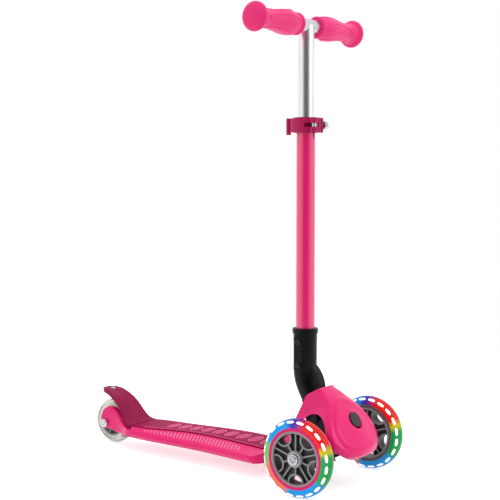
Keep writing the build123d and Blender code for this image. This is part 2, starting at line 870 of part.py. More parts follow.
with BuildPart() as arm_bolts:
    with BuildSketch(Plane.XZ):
        with Locations(*arm_bolts_at):
            Circle(arm_bolt_r)
    extrude(amount=pad_face + arm_nut_h, both=True)
    with BuildSketch(Plane.XZ.offset(pad_face)):
        with Locations(*arm_bolts_at):
            Circle(arm_head_r)
    extrude(amount=arm_head_h)
arm_bolts.part.label = "arm_bolts"
export_step(arm_bolts.part, "parts/arm_bolts.step")

with BuildPart() as arm_nuts:
    with BuildSketch(Plane.XZ.offset(-pad_face)):
        with Locations(*arm_bolts_at):
            RegularPolygon(arm_head_r, 6)
            Circle(arm_bolt_r + seat_gap, mode=Mode.SUBTRACT)
    extrude(amount=-arm_nut_h)
arm_nuts.part.label = "arm_nuts"
export_step(arm_nuts.part, "parts/arm_nuts.step")

# Column: pink steel tube, slit at the front of its top end where the clamp squeezes it
with BuildPart() as column:
    with BuildSketch(Plane.XY.offset(column_foot)):
        with Locations(column_axis):
            Circle(column_r)
            Circle(column_bore_r, mode=Mode.SUBTRACT)
    extrude(amount=column_top - column_foot)
    with Locations((column_x + column_r, 0, column_top - slit_depth / 2)):
        Box(column_r, slit_w, slit_depth, mode=Mode.SUBTRACT)
    with BuildSketch(Plane.XZ):
        with Locations(*arm_bolts_at):
            Circle(arm_bolt_r + screw_gap)
    extrude(amount=2 * column_r, both=True, mode=Mode.SUBTRACT)
column.part.label = "column"
export_step(column.part, "parts/column.step")

with BuildPart() as column_bush:
    with BuildSketch(Plane.XY.offset(column_top - bush_len)):
        with Locations(column_axis):
            Circle(column_bore_r - seat_gap)
            Circle(stem_r + run_gap, mode=Mode.SUBTRACT)
    extrude(amount=bush_len)
column_bush.part.label = "column_bush"
export_step(column_bush.part, "parts/column_bush.step")

# Clamp: split collar with two ears, cross bolt, barrel, thumb nut and quick lever
with BuildPart() as clamp_collar:
    with BuildSketch(Plane.XY.offset(clamp_z - clamp_h / 2)):
        with Locations(column_axis):
            Circle(collar_r)
        with Locations((column_x + ear_x + (ear_front - ear_back) / 2, 0)):
            RectangleRounded(ear_front + ear_back, 2 * ear_half, ear_round)
        with Locations(column_axis):
            Circle(column_r + seat_gap, mode=Mode.SUBTRACT)
        with Locations((column_x + collar_r + ear_back / 2, 0)):
            Rectangle(2 * collar_r + ear_back, slit_w, mode=Mode.SUBTRACT)
    extrude(amount=clamp_h)
    with BuildSketch(Plane.XY.offset(column_top + screw_gap)):
        with Locations(column_axis):
            Circle(collar_r)
            Circle(stem_r + body_gap, mode=Mode.SUBTRACT)
        with Locations((column_x + collar_r, 0)):
            Rectangle(2 * collar_r, slit_w, mode=Mode.SUBTRACT)
    extrude(amount=clamp_lip)
    with BuildSketch(Plane.XZ):
        with Locations(clamp_bolt_at):
            Circle(clamp_bolt_r + screw_gap)
    extrude(amount=2 * collar_r, both=True, mode=Mode.SUBTRACT)
clamp_collar.part.label = "clamp_collar"
export_step(clamp_collar.part, "parts/clamp_collar.step")

with BuildPart() as clamp_bolt:
    with BuildSketch(Plane.XZ.offset(-ear_half - bolt_proud)):
        with Locations(clamp_bolt_at):
            Circle(clamp_bolt_r)
    extrude(amount=ear_half + bolt_proud - cam_y + 2 * lap)
clamp_bolt.part.label = "clamp_bolt"
export_step(clamp_bolt.part, "parts/clamp_bolt.step")

with BuildPart() as clamp_nut:
    with BuildSketch(Plane.XZ.offset(-ear_half - seat_gap)):
        with Locations(clamp_bolt_at):
            RegularPolygon(thumb_nut_r, 16)
            Circle(clamp_bolt_r + seat_gap, mode=Mode.SUBTRACT)
    extrude(amount=-thumb_nut_h)
clamp_nut.part.label = "clamp_nut"
export_step(clamp_nut.part, "parts/clamp_nut.step")

with BuildPart() as clamp_barrel:
    with BuildSketch(Plane.XY.offset(clamp_z - barrel_len / 2)):
        with Locations((column_x + ear_x, cam_y)):
            Circle(barrel_r)
    extrude(amount=barrel_len)
    with BuildSketch(Plane.XZ):
        with Locations(clamp_bolt_at):
            Circle(clamp_bolt_r + seat_gap)
    extrude(amount=2 * collar_r, both=True, mode=Mode.SUBTRACT)
clamp_barrel.part.label = "clamp_barrel"
export_step(clamp_barrel.part, "parts/clamp_barrel.step")

# Quick lever: an arc that hugs the collar, with an eye on the barrel and a rolled finger end
lever_start = degrees(atan2(cam_y, ear_x)) - lever_lead
tail_at = (tail_at_r * cos(radians(lever_end)), tail_at_r * sin(radians(lever_end)))
lever_plane = Plane(origin=(column_x, 0, clamp_z - lever_h / 2))
with BuildPart() as clamp_lever:
    with BuildSketch(lever_plane):
        with BuildLine():
            inner_arc = CenterArc((0, 0), lever_in, lever_start, lever_end - lever_start)
            outer_arc = CenterArc((0, 0), lever_out, lever_start, lever_end - lever_start)
            Line(inner_arc @ 0, outer_arc @ 0)
            Line(inner_arc @ 1, outer_arc @ 1)
        make_face()
        with Locations((ear_x, cam_y)):
            Circle(cam_r)
        with Locations(tail_at):
            Circle(tail_r)
    extrude(amount=lever_h)
    with BuildSketch(lever_plane.offset(-tail_drop)):
        with Locations(tail_at):
            Circle(tail_r)
    extrude(amount=tail_drop + lap)
    with BuildSketch(lever_plane.offset(-lap)):
        with Locations((ear_x, cam_y)):
            Circle(barrel_r + run_gap)
    extrude(amount=lever_h + 2 * lap, mode=Mode.SUBTRACT)
    with Locations((column_x + ear_x, cam_y, clamp_z)):
        Box(4 * cam_r, 4 * cam_r, lever_slot, mode=Mode.SUBTRACT)
clamp_lever.part.label = "clamp_lever"
export_step(clamp_lever.part, "parts/clamp_lever.step")

# Stem and crossbar: the polished aluminium T that slides in the column
# Two shallow rings round the stem mark the ends of the stretch that takes a clamp
with BuildPart() as stem_tube:
    with BuildSketch(Plane.XY.offset(stem_foot)):
        with Locations(column_axis):
            Circle(stem_r)
            Circle(stem_bore_r, mode=Mode.SUBTRACT)
    extrude(amount=bar_height - stem_foot)
    for mark_z in (column_top + mark_low, bar_height - mark_top):
        with BuildSketch(Plane.XY.offset(mark_z)):
            with Locations(column_axis):
                Circle(stem_r + lap)
                Circle(stem_r - mark_depth, mode=Mode.SUBTRACT)
        extrude(amount=mark_w, mode=Mode.SUBTRACT)
    with BuildSketch(Plane.XZ):
        with Locations((column_x, bar_height)):
            Circle(cross_r + seat_gap)
    extrude(amount=2 * stem_r, both=True, mode=Mode.SUBTRACT)
stem_tube.part.label = "stem_tube"
export_step(stem_tube.part, "parts/stem_tube.step")

cross_half = bar_reach - cross_inset
with BuildPart() as crossbar:
    with BuildSketch(Plane.XZ):
        with Locations((column_x, bar_height)):
            Circle(cross_r)
            Circle(cross_r - cross_wall, mode=Mode.SUBTRACT)
    extrude(amount=cross_half, both=True)
crossbar.part.label = "crossbar"
export_step(crossbar.part, "parts/crossbar.step")

# Grips: rubber sleeves with an inner collar, a barrel body and a wide end flange
# Each point holds the way along the grip from its inner end and the radius there
grip_lip = ((0, 15.8), (2.5, 17.6), (5, 16.2))
grip_neck = ((5, 16.2), (6.5, 15.0), (9, 15.0))
grip_body = ((9, 15.0), (55, 17.0), (100, 15.2), (106, 17.2), (109, 20.4))
grip_flange = ((109, 20.4), (113, 22.4), (117, 19))
for side, side_name in ((-1, "right"), (1, "left")):
    grip_plane = out_plane(column_x, side * (bar_reach - grip_len), bar_height, side)
    with BuildPart() as grip:
        with BuildSketch(grip_plane):
            with BuildLine():
                bore = cross_r + seat_gap
                Line((0, bore), grip_lip[0])
                ThreePointArc(*grip_lip)
                Polyline(*grip_neck)
                Spline(*grip_body)
                ThreePointArc(*grip_flange)
                Spline(grip_flange[-1], (119.2, 10), (grip_len, 0), tangents=((0.6, -1), (0, -1)))
                Polyline(
                    (grip_len, 0),
                    (grip_len - grip_end_t, 0),
                    (grip_len - grip_end_t, bore),
                    (0, bore),
                )
            make_face()
        revolve(axis=Axis((column_x, 0, bar_height), (0, 1, 0)))
    grip.part.label = f"{side_name}_grip"
    export_step(grip.part, f"parts/{side_name}_grip.step")

# Deck: the pink moulded board, lofted through cross-sections from the brake to the head
# Each station holds its distance from the rear edge on a deck that is deck_drawn long, then
# half-width, tread half-width, tread height and ledge height
deck_stations = (
    (0, deck_rear_half, 33, 42.5, 36),
    (55, 46, 33.5, 44.5, 35),
    (130, 48.5, 29, 47.3, 34.5),
    (195, 54.5, 33, 47.5, 35),
    (250, 62, 36.5, 45.3, 36),
    (deck_drawn, deck_front_half, 39, 43.5, 36.5),
)
rear_line = front_x + deck_rear - wheelbase
front_line = front_x + deck_front
deck_stretch = (front_line - rear_line) / deck_drawn
side_line = 2 * deck_front_half
corner_x = front_line - corner_r
corner_y = deck_front_half - corner_r

# Outlines seen from the right: the nose from the front axle, the fork arm from the rear axle
nose_outline = ((-116, deck_floor), (-14, deck_floor), (-40, 62), (-62, 54), (-116, 42))
fork_foot = ((57, 39.5), (80, 38), (80, deck_floor), (58, deck_floor))
fork_belly = ((58, deck_floor), (34, 25), (5, 30.7))
fork_end = ((5, 30.7), (-7.4, 32.6), (-10.5, 40))
fork_back = ((-10.5, 40), (-11, 55), (4, 69.5), (22, 66), (36, 55.5), (46, 45), (57, 39.5))


fork_side = ((82, deck_rear_half), (68, deck_rear_half), (48, 34), (30, 28.8), (14, fork_out), (-14, fork_out))


def from_rear(points):
    return [(rear_x + x, z) for x, z in points]


def fork_arm():
    """Left fork arm: its side outline cut to the outline seen from above, with rounded outer edges."""
    with BuildPart() as arm:
        with BuildSketch(Plane.XZ.offset(-fork_in)):
            with BuildLine():
                Polyline(*from_rear(fork_foot))
                Spline(*from_rear(fork_belly))
                ThreePointArc(*from_rear(fork_end))
                Spline(*from_rear(fork_back))
            make_face()
        extrude(amount=-deck_rear_half)
        with BuildSketch(Plane.XY):
            with BuildLine():
                outside = from_rear(fork_side)
                Line(outside[0], outside[1])
                Spline(*outside[1:5], tangents=((-1, 0), (-1, 0)))
                Line(outside[4], outside[5])
                Polyline(outside[5], (outside[5][0], fork_in), (outside[0][0], fork_in), outside[0])
            make_face()
        extrude(amount=through, mode=Mode.INTERSECT)
        outer = arm.edges().filter_by(lambda edge: edge.center().Y > fork_out - lap)
        fillet(outer.filter_by(lambda edge: edge.center().X < rear_x + 2 * rear_head_r + rear_r), fork_round)
    return arm.part


left_arm = fork_arm()
with BuildPart() as deck_base:
    for along, half, tread_half, top, ledge in deck_stations:
        x = rear_line + along * deck_stretch
        rise = side_round * (top - ledge) / (half - tread_half)
        mid_y = half - side_round / 4
        mid_z = ledge + (rise - side_round) / 4
        with BuildSketch(Plane(origin=(x, 0, 0), x_dir=(0, 1, 0), z_dir=(1, 0, 0))):
            with BuildLine():
                Polyline((chine_in - half, deck_under), (half - chine_in, deck_under), (half, deck_chine))
                Line((half, deck_chine), (half, ledge - side_round))
                ThreePointArc((half, ledge - side_round), (mid_y, mid_z), (half - side_round, ledge + rise))
                Polyline(
                    (half - side_round, ledge + rise),
                    (tread_half, top),
                    (-tread_half, top),
                    (side_round - half, ledge + rise),
                )
                ThreePointArc((side_round - half, ledge + rise), (-mid_y, mid_z), (-half, ledge - side_round))
                Polyline((-half, ledge - side_round), (-half, deck_chine), (chine_in - half, deck_under))
            make_face()
    loft()
    with BuildSketch(Plane.XY):
        with BuildLine():
            Polyline(
                (corner_x, deck_front_half),
                (corner_x, side_line),
                (rear_line, side_line),
                (rear_line, -side_line),
                (corner_x, -side_line),
                (corner_x, -deck_front_half),
            )
            CenterArc((corner_x, -corner_y), corner_r, -90, 90)
            Line((front_line, -corner_y), (front_line, corner_y))
            CenterArc((corner_x, corner_y), corner_r, 0, 90)
        make_face()
    extrude(amount=through, mode=Mode.INTERSECT)
    with BuildSketch(Plane.XZ):
        with BuildLine():
            Polyline(*[(front_x + x, z) for x, z in nose_outline], close=True)
        make_face()
    extrude(amount=nose_half, both=True)
    add(left_arm)
    add(mirror(left_arm, about=Plane.XZ))
    with BuildSketch(Plane.XZ):
        with Locations(rear_axle_at):
            Circle(axle_r + screw_gap)
        with Locations(bead_at):
            Circle(bead_r + 3 * screw_gap)
    extrude(amount=side_line, both=True, mode=Mode.SUBTRACT)
    with BuildSketch(head_side):
        with Locations((box_rear + through / 2, 0)):
            Rectangle(through, through)
    extrude(amount=side_line, both=True, mode=Mode.SUBTRACT)
    with BuildSketch(face_at(box_rear - pin_nut_h - pin_end - nut_room)):
        with Locations(kingpin_at):
            Circle(pin_nut_r + nut_room)
    extrude(amount=pin_nut_h + pin_end + 2 * nut_room, mode=Mode.SUBTRACT)
    with BuildSketch(face_at(box_rear - chassis_screw_reach - lap)):
        with Locations(*chassis_screws_at):
            Circle(chassis_screw_r + screw_gap)
    extrude(amount=chassis_screw_reach + 3 * lap, mode=Mode.SUBTRACT)
    with BuildSketch(Plane.XY):
        Rectangle(2 * through, through)
    extrude(amount=deck_floor, mode=Mode.SUBTRACT)
    for along, pocket_half in under_pockets:
        with BuildSketch(Plane.XY.offset(deck_floor)):
            with Locations((rear_line + along * deck_stretch, 0)):
                RectangleRounded(pocket_len * deck_stretch, 2 * pocket_half, pocket_round)
        extrude(amount=pocket_depth, mode=Mode.SUBTRACT)
deck_base.part.label = "deck_base"
export_step(deck_base.part, "parts/deck_base.step")

# Deck pad: the raspberry tread laid on top of the deck between the brake and the head
pad_rear = rear_line + pad_rear_gap
pad_front = front_line - pad_front_gap
with BuildPart() as deck_pad:
    for along, half, tread_half, top, ledge in deck_stations:
        x = rear_line + along * deck_stretch
        with BuildSketch(Plane(origin=(x, 0, 0), x_dir=(0, 1, 0), z_dir=(1, 0, 0))):
            with Locations((0, top + seat_gap + pad_t / 2)):
                Rectangle(2 * (tread_half - pad_inset), pad_t)
    loft()
    with BuildSketch(Plane.XY):
        with Locations(((pad_rear + pad_front) / 2, 0)):
            RectangleRounded(pad_front - pad_rear, pad_wide, pad_corner)
        with Locations((pad_rear + pad_square / 2, 0)):
            Rectangle(pad_square, pad_wide)
    extrude(amount=through, mode=Mode.INTERSECT)
deck_pad.part.label = "deck_pad"
export_step(deck_pad.part, "parts/deck_pad.step")

with BuildPart() as chassis_screws:
    with BuildSketch(face_at(box_rear - chassis_screw_reach)):
        with Locations(*chassis_screws_at):
            Circle(chassis_screw_r)
    extrude(amount=chassis_screw_reach + rear_wall + lap)
    with BuildSketch(face_at(box_rear + rear_wall)):
        with Locations(*chassis_screws_at):
            Circle(chassis_head_r)
    extrude(amount=chassis_head_h)
chassis_screws.part.label = "chassis_screws"
export_step(chassis_screws.part, "parts/chassis_screws.step")

# Rear axle bolt, nut and the two spacers that centre the wheel between the fork arms
with BuildPart() as rear_axle:
    with BuildSketch(Plane.XZ):
        with Locations(rear_axle_at):
            Circle(axle_r)
    extrude(amount=fork_out + axle_proud, both=True)
    with BuildSketch(Plane.XZ.offset(fork_out)):
        with Locations(rear_axle_at):
            Circle(rear_head_r)
    extrude(amount=rear_head_h)
rear_axle.part.label = "rear_axle"
export_step(rear_axle.part, "parts/rear_axle.step")

with BuildPart() as rear_axle_nut:
    with BuildSketch(Plane.XZ.offset(-fork_out)):
        with Locations(rear_axle_at):
            RegularPolygon(rear_nut_r, 6)
            Circle(axle_r + seat_gap, mode=Mode.SUBTRACT)
    extrude(amount=-rear_nut_h)
rear_axle_nut.part.label = "rear_axle_nut"
export_step(rear_axle_nut.part, "parts/rear_axle_nut.step")

with BuildPart() as rear_spacers:
    for side in (-1, 1):
        with BuildSketch(Plane.XZ.offset(-side * fork_in)):
            with Locations(rear_axle_at):
                Circle(spacer_r)
                Circle(axle_r + screw_gap, mode=Mode.SUBTRACT)
        extrude(amount=side * (fork_in - hub_half - body_gap))
rear_spacers.part.label = "rear_spacers"
export_step(rear_spacers.part, "parts/rear_spacers.step")

# Brake: the raspberry fender on a bead hinge, with a steel rub plate and a screw near its tip
# Its outlines run from the rear axle: the side view, then half of the view from above
brake_tip = ((-21.5, 91.5), (-25.5, 95.5), (-21, 99.5))
brake_top = ((-21, 99.5), (-4, 98), (18, 87.5), (33, 73.5), (45, 57.5), (56, 47.5), (bead_x, 45))
brake_heel = ((bead_x, 45), (61, 40))
brake_back = (-4, 90.3)
brake_side = ((bead_x + lap, brake_half), (40, 29.5), (8, 21), (-15, 13.5))
brake_end = (rear_x - 26, 0)


def shoe_point(angle):
    return (rear_x + shoe_r * cos(radians(angle)), rear_r + shoe_r * sin(radians(angle)))


with BuildPart() as brake_fender:
    with BuildSketch(Plane.XZ):
        with BuildLine():
            Polyline(*from_rear(brake_heel), shoe_point(shoe_from))
            ThreePointArc(shoe_point(shoe_from), shoe_point((shoe_from + shoe_to) / 2), shoe_point(shoe_to))
            Spline(shoe_point(shoe_to), *from_rear((brake_back, brake_tip[0])))
            ThreePointArc(*from_rear(brake_tip))
            Spline(*from_rear(brake_top))
        make_face()
    extrude(amount=brake_half, both=True)
    with BuildSketch(Plane.XY):
        with BuildLine():
            left_side = from_rear(brake_side)
            right_side = [(x, -y) for x, y in reversed(left_side)]
            Spline(*left_side, brake_end, *right_side)
            Line(right_side[-1], left_side[0])
        make_face()
    extrude(amount=through, mode=Mode.INTERSECT)
    fillet(brake_fender.edges().filter_by(lambda edge: edge.length > rear_wheel_d), brake_round)
    with BuildSketch(Plane.XZ):
        with Locations(bead_at):
            Circle(bead_r)
    extrude(amount=brake_half - 2 * lap, both=True)
    with BuildSketch(Plane.XY.offset(brake_seat_z)):
        with Locations((rear_x + brake_screw_x, 0)):
            Circle(brake_sink_r)
    extrude(amount=rear_wheel_d, mode=Mode.SUBTRACT)
    with BuildSketch(Plane.XY.offset(rear_r)):
        with Locations((rear_x + brake_screw_x, 0)):
            Circle(brake_screw_r + screw_gap)
    extrude(amount=rear_wheel_d, mode=Mode.SUBTRACT)
brake_fender.part.label = "brake_fender"
export_step(brake_fender.part, "parts/brake_fender.step")

with BuildPart() as brake_plate:
    with BuildSketch(Plane.XZ.shift_origin((rear_x, 0, rear_r))):
        with BuildLine():
            rub_out = CenterArc((0, 0), shoe_r - seat_gap, rub_from, rub_sweep)
            rub_in = CenterArc((0, 0), shoe_r - rub_t, rub_from, rub_sweep)
            Line(rub_out @ 0, rub_in @ 0)
            Line(rub_out @ 1, rub_in @ 1)
        make_face()
    extrude(amount=rub_half, both=True)
brake_plate.part.label = "brake_plate"
export_step(brake_plate.part, "parts/brake_plate.step")

with BuildPart() as brake_screw:
    with BuildSketch(Plane.XY.offset(brake_seat_z - brake_screw_len)):
        with Locations((rear_x + brake_screw_x, 0)):
            Circle(brake_screw_r)
    extrude(amount=brake_screw_len + lap)
    with BuildSketch(Plane.XY.offset(brake_seat_z)):
        with Locations((rear_x + brake_screw_x, 0)):
            Circle(brake_head_r)
    extrude(amount=brake_head_h)
brake_screw.part.label = "brake_screw"
export_step(brake_screw.part, "parts/brake_screw.step")
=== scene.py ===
from math import copysign, cos, pi, radians, sin

import bpy
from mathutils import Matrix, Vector
from mathutils.bvhtree import BVHTree


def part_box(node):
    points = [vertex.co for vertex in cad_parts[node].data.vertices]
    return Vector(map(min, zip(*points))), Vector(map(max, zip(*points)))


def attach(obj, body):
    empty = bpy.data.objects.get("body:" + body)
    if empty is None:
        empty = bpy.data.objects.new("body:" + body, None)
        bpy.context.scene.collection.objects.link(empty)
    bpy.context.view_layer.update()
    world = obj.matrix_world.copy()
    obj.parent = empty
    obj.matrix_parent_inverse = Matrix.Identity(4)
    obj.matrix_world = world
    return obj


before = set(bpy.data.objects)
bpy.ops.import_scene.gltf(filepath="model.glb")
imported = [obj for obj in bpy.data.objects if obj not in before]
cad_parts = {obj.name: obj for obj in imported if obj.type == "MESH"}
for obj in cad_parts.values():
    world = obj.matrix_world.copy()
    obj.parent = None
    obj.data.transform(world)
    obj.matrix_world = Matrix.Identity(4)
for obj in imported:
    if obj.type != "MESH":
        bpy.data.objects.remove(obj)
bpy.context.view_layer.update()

# Deck board: one glossy polypropylene moulding from the head back into the rear fork.
# The mould leaves a fine grain and faint flow marks, and slanted ribs on both ledges grip a shoe.
mm = 0.001
hot_pink = (239, 6, 114)
front_x = sum(corner.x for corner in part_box("left_tyre")) / 2


def linear(colour):
    """Screen colour, 0 to 255, as the shader's own linear one."""
    return [(value / 255) ** 2.2 for value in colour] + [1.0]


def start_finish(name):
    """New node material: itself, its shader, and functions that add a node and join two sockets."""
    finish = bpy.data.materials.new(name)
    finish.use_nodes = True
    tree = finish.node_tree
    return finish, tree.nodes["Principled BSDF"], tree.nodes.new, tree.links.new


def mottle(finish, marks, tones, spread, glosses):
    """Lets the marks of a noise node shade a finish between two tones and two roughnesses."""
    tree = finish.node_tree
    shader = tree.nodes["Principled BSDF"]
    tint = tree.nodes.new("ShaderNodeValToRGB")
    deep, light = tint.color_ramp.elements
    deep.position = spread[0]
    light.position = spread[1]
    deep.color = linear(tones[0])
    light.color = linear(tones[1])
    tree.links.new(marks.outputs["Fac"], tint.inputs["Fac"])
    tree.links.new(tint.outputs["Color"], shader.inputs["Base Color"])
    gloss = tree.nodes.new("ShaderNodeMapRange")
    gloss.inputs["To Min"].default_value = glosses[0]
    gloss.inputs["To Max"].default_value = glosses[1]
    tree.links.new(marks.outputs["Fac"], gloss.inputs["Value"])
    tree.links.new(gloss.outputs["Result"], shader.inputs["Roughness"])


def moulded(name, colour, rough, grain, depth, shine=0.3):
    """Moulded plastic: flow marks in its colour and gloss, and mould grain of a size and depth."""
    finish, shader, add, join = start_finish(name)
    shader.inputs["Specular IOR Level"].default_value = shine
    place = add("ShaderNodeTexCoord")
    flow = add("ShaderNodeTexNoise")
    flow.inputs["Scale"].default_value = 16
    flow.inputs["Detail"].default_value = 2
    join(place.outputs["Object"], flow.inputs["Vector"])
    darker = [0.96 * value for value in colour]
    paler = [min(255, 1.03 * value) for value in colour]
    mottle(finish, flow, (darker, paler), (0.2, 0.8), (0.8 * rough, 1.2 * rough))
    speck = add("ShaderNodeTexNoise")
    speck.inputs["Scale"].default_value = 1 / grain
    join(place.outputs["Object"], speck.inputs["Vector"])
    bump = add("ShaderNodeBump")
    bump.inputs["Strength"].default_value = 0.3
    bump.inputs["Distance"].default_value = depth
    join(speck.outputs["Fac"], bump.inputs["Height"])
    join(bump.outputs["Normal"], shader.inputs["Normal"])
    return finish


def dress(finish, *names):
    """Gives CAD nodes a finish."""
    for name in names:
        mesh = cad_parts[name].data
        mesh.materials.clear()
        mesh.materials.append(finish)


def surface(name):
    """Search tree over a CAD node's faces, for laying trim on it."""
    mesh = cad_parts[name].data
    return BVHTree.FromPolygons([v.co for v in mesh.vertices], [p.vertices for p in mesh.polygons])


def land(tree, start, way):
    """Where a straight line from start meets the surface, and the surface's normal there."""
    point, normal, _, _ = tree.ray_cast(Vector(start), Vector(way))
    return point, normal


def piece(name, points, faces, finish, body):
    """New smooth mesh that rides on a body."""
    mesh = bpy.data.meshes.new(name)
    mesh.from_pydata(points, [], faces)
    mesh.validate()
    mesh.shade_smooth()
    mesh.materials.append(finish)
    made = bpy.data.objects.new(name, mesh)
    bpy.context.scene.collection.objects.link(made)
    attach(made, body)


def grid_faces(rows, columns, first=0, closed=False):
    """Quads over rows of points, joined round if closed."""
    faces = []
    for row in range(rows - 1):
        for column in range(columns if closed else columns - 1):
            after = (column + 1) % columns
            a = first + row * columns
            b = a + columns
            faces.append((a + column, a + after, b + after, b + column))
    return faces


pink_shell = moulded(
    "pink_shell", hot_pink, rough=0.28, grain=0.6 * mm, depth=0.01 * mm, shine=0.36
)
dress(pink_shell, "deck_base")

deck_skin = surface("deck_base")
pad_skin = surface("deck_pad")
down = (0, 0, -1)
over_deck = 200 * mm
widest = 80 * mm
edge_step = 0.5 * mm
bead_sunk = -0.3
bead_rows = ((-1, bead_sunk), (-0.6, 0.8), (0, 1), (0.6, 0.8), (1, bead_sunk))


def outer_edge(tree, x):
    """How far out from the centre line the upper side reaches at x."""
    y = widest
    while y > 0 and land(tree, (x, y, over_deck), down)[0] is None:
        y -= edge_step
    return y


def bead(tree, track, half, high, points, faces):
    """Adds a low rounded bead along a plan track, wherever all its width is on the surface."""
    runs = [[]]
    last = len(track) - 1
    has_ends = track[0] != track[last]
    for number, (x, y) in enumerate(track):
        before = Vector(track[max(number - 1, 0)])
        after = Vector(track[min(number + 1, last)])
        side = (after - before).orthogonal().normalized() * half
        at_end = has_ends and number in (0, last)
        row = []
        for share, lift in bead_rows:
            start = (x + side.x * share, y + side.y * share, over_deck)
            at, normal = land(tree, start, down)
            if at is not None:
                row.append(at + normal * high * (bead_sunk if at_end else lift))
        if len(row) == len(bead_rows):
            runs[-1].append(row)
        elif runs[-1]:
            runs.append([])
    for run in runs:
        if len(run) > 1:
            faces += grid_faces(len(run), len(bead_rows), len(points))
            points += [point for row in run for point in row]


rib_pink = moulded("rib_pink", (252, 116, 164), rough=0.32, grain=0.6 * mm, depth=0.02 * mm)
rib_count = 30
rib_first = front_x - 366 * mm
rib_pitch = 7.2 * mm
rib_slant = 3 * mm
rib_half = 1.9 * mm
rib_high = 0.7 * mm
rib_off_pad = 3 * mm
rib_off_rim = 5.5 * mm
rib_shortest = 4 / 7
rib_growth = 1 / 7
rib_steps = 8
rib_points = []
rib_faces = []
for number in range(rib_count):
    x = rib_first + number * rib_pitch
    inside = outer_edge(pad_skin, x) + rib_off_pad
    outside = outer_edge(deck_skin, x) - rib_off_rim
    from_end = min(number, rib_count - 1 - number)
    reach = min(1.0, rib_shortest + rib_growth * from_end)
    for side in (-1, 1):
        track = []
        for step in range(rib_steps):
            share = step / (rib_steps - 1)
            y = inside + (outside - inside) * (0.5 + (share - 0.5) * reach)
            track.append((x + rib_slant * share, side * y))
        bead(deck_skin, track, rib_half, rib_high, rib_points, rib_faces)
piece("ledge_ribs", rib_points, rib_faces, rib_pink, "deck")

# Deck pad: a raspberry polypropylene tread laid flat on the board between the brake and the head.
# Its upper side has a fine contour relief, raised oval grip rings and short teeth along both edges.


def contoured(name, colour, pitch, centre, shine):
    """Moulded tread with contour lines, like a relief map, that run round a centre."""
    finish = moulded(name, colour, rough=0.5, grain=0.5 * mm, depth=0.03 * mm, shine=shine)
    nodes = finish.node_tree.nodes
    join = finish.node_tree.links.new
    shift = nodes.new("ShaderNodeMapping")
    shift.inputs["Location"].default_value = [-value for value in centre]
    rings = nodes.new("ShaderNodeTexWave")
    rings.wave_type = "RINGS"
    rings.rings_direction = "SPHERICAL"
    # At a scale of 1 the texture's rings are 0.314 m apart.
    rings.inputs["Scale"].default_value = 0.314 / pitch
    rings.inputs["Distortion"].default_value = 3.0
    rings.inputs["Detail Scale"].default_value = 0.6
    relief = nodes.new("ShaderNodeBump")
    relief.inputs["Strength"].default_value = 0.6
    relief.inputs["Distance"].default_value = 0.35 * mm
    join(nodes["Texture Coordinate"].outputs["Object"], shift.inputs["Vector"])
    join(shift.outputs["Vector"], rings.inputs["Vector"])
    join(rings.outputs["Fac"], relief.inputs["Height"])
    join(nodes["Bump"].outputs["Normal"], relief.inputs["Normal"])
    join(relief.outputs["Normal"], nodes["Principled BSDF"].inputs["Normal"])
    return finish


tread_centre = (front_x - 230 * mm, 60 * mm, 47 * mm)
tread = contoured("tread", (158, 18, 76), pitch=4 * mm, centre=tread_centre, shine=0.04)
dress(tread, "deck_pad")

ring_pink = moulded("ring_pink", (232, 92, 140), rough=0.45, grain=0.6 * mm, depth=0.02 * mm)
ring_count = 9
ring_first = front_x - 330 * mm
ring_pitch = 25 * mm
ring_share = 0.5
ring_long = 7.6 * mm
inner_long = 2.4 * mm
inner_inset = 6 * mm
ring_half = 1.5 * mm
ring_high = 0.7 * mm
ring_sides = 48
ring_points = []
ring_faces = []
for number in range(ring_count):
    middle = ring_first + number * ring_pitch
    ring_wide = outer_edge(pad_skin, middle) * ring_share
    for half_long, half_wide in ((ring_long, ring_wide), (inner_long, ring_wide - inner_inset)):
        track = []
        for step in range(ring_sides + 1):
            turn = 2 * pi * (step % ring_sides) / ring_sides
            track.append((middle + half_long * cos(turn), half_wide * sin(turn)))
        bead(pad_skin, track, ring_half, ring_high, ring_points, ring_faces)
piece("pad_rings", ring_points, ring_faces, ring_pink, "deck")

tooth_count = 58
tooth_first = front_x - 372 * mm
tooth_pitch = 4.4 * mm
tooth_half = 1.3 * mm
tooth_sunk = 0.2 * mm
tooth_inset = 1.2 * mm
tooth_stride = 2.6 * mm
tooth_lifts = (0.9 * mm, 0.8 * mm, 0.1 * mm)
tooth_points = []
tooth_faces = []
for number in range(tooth_count):
    x = tooth_first + number * tooth_pitch
    edge = outer_edge(pad_skin, x)
    for side in (-1, 1):
        first = len(tooth_points)
        for step, lift in enumerate(tooth_lifts):
            y = edge - tooth_inset - step * tooth_stride
            at, _ = land(pad_skin, (x, side * y, over_deck), down)
            tooth_points.append(at + Vector((-tooth_half, 0, -tooth_sunk)))
            tooth_points.append(at + Vector((0, 0, lift)))
            tooth_points.append(at + Vector((tooth_half, 0, -tooth_sunk)))
        tooth_faces += grid_faces(len(tooth_lifts), 3, first)
        tooth_faces.append((first, first + 1, first + 2))
piece("pad_teeth", tooth_points, tooth_faces, ring_pink, "deck")

# Front chassis and axle beam: black glass-filled nylon, with the coarse matt grain of that stuff.
# The chassis screws to the deck's nose, and the beam leans on the kingpin through it.
# The guide bush in the column's top is moulded from the same nylon.
black_nylon = moulded("black_nylon", (27, 27, 29), rough=0.5, grain=0.9 * mm, depth=0.05 * mm)
dress(black_nylon, "front_chassis", "axle_beam", "column_bush")

# Steel hardware: zinc-plated pins, screws, nuts, bearings and the rub plate, drawn or turned.
# The bolts that show have a domed head with a star recess.
# Rubber bushings sit on the kingpin, and copper-wound cores on the front axles feed the lamps.


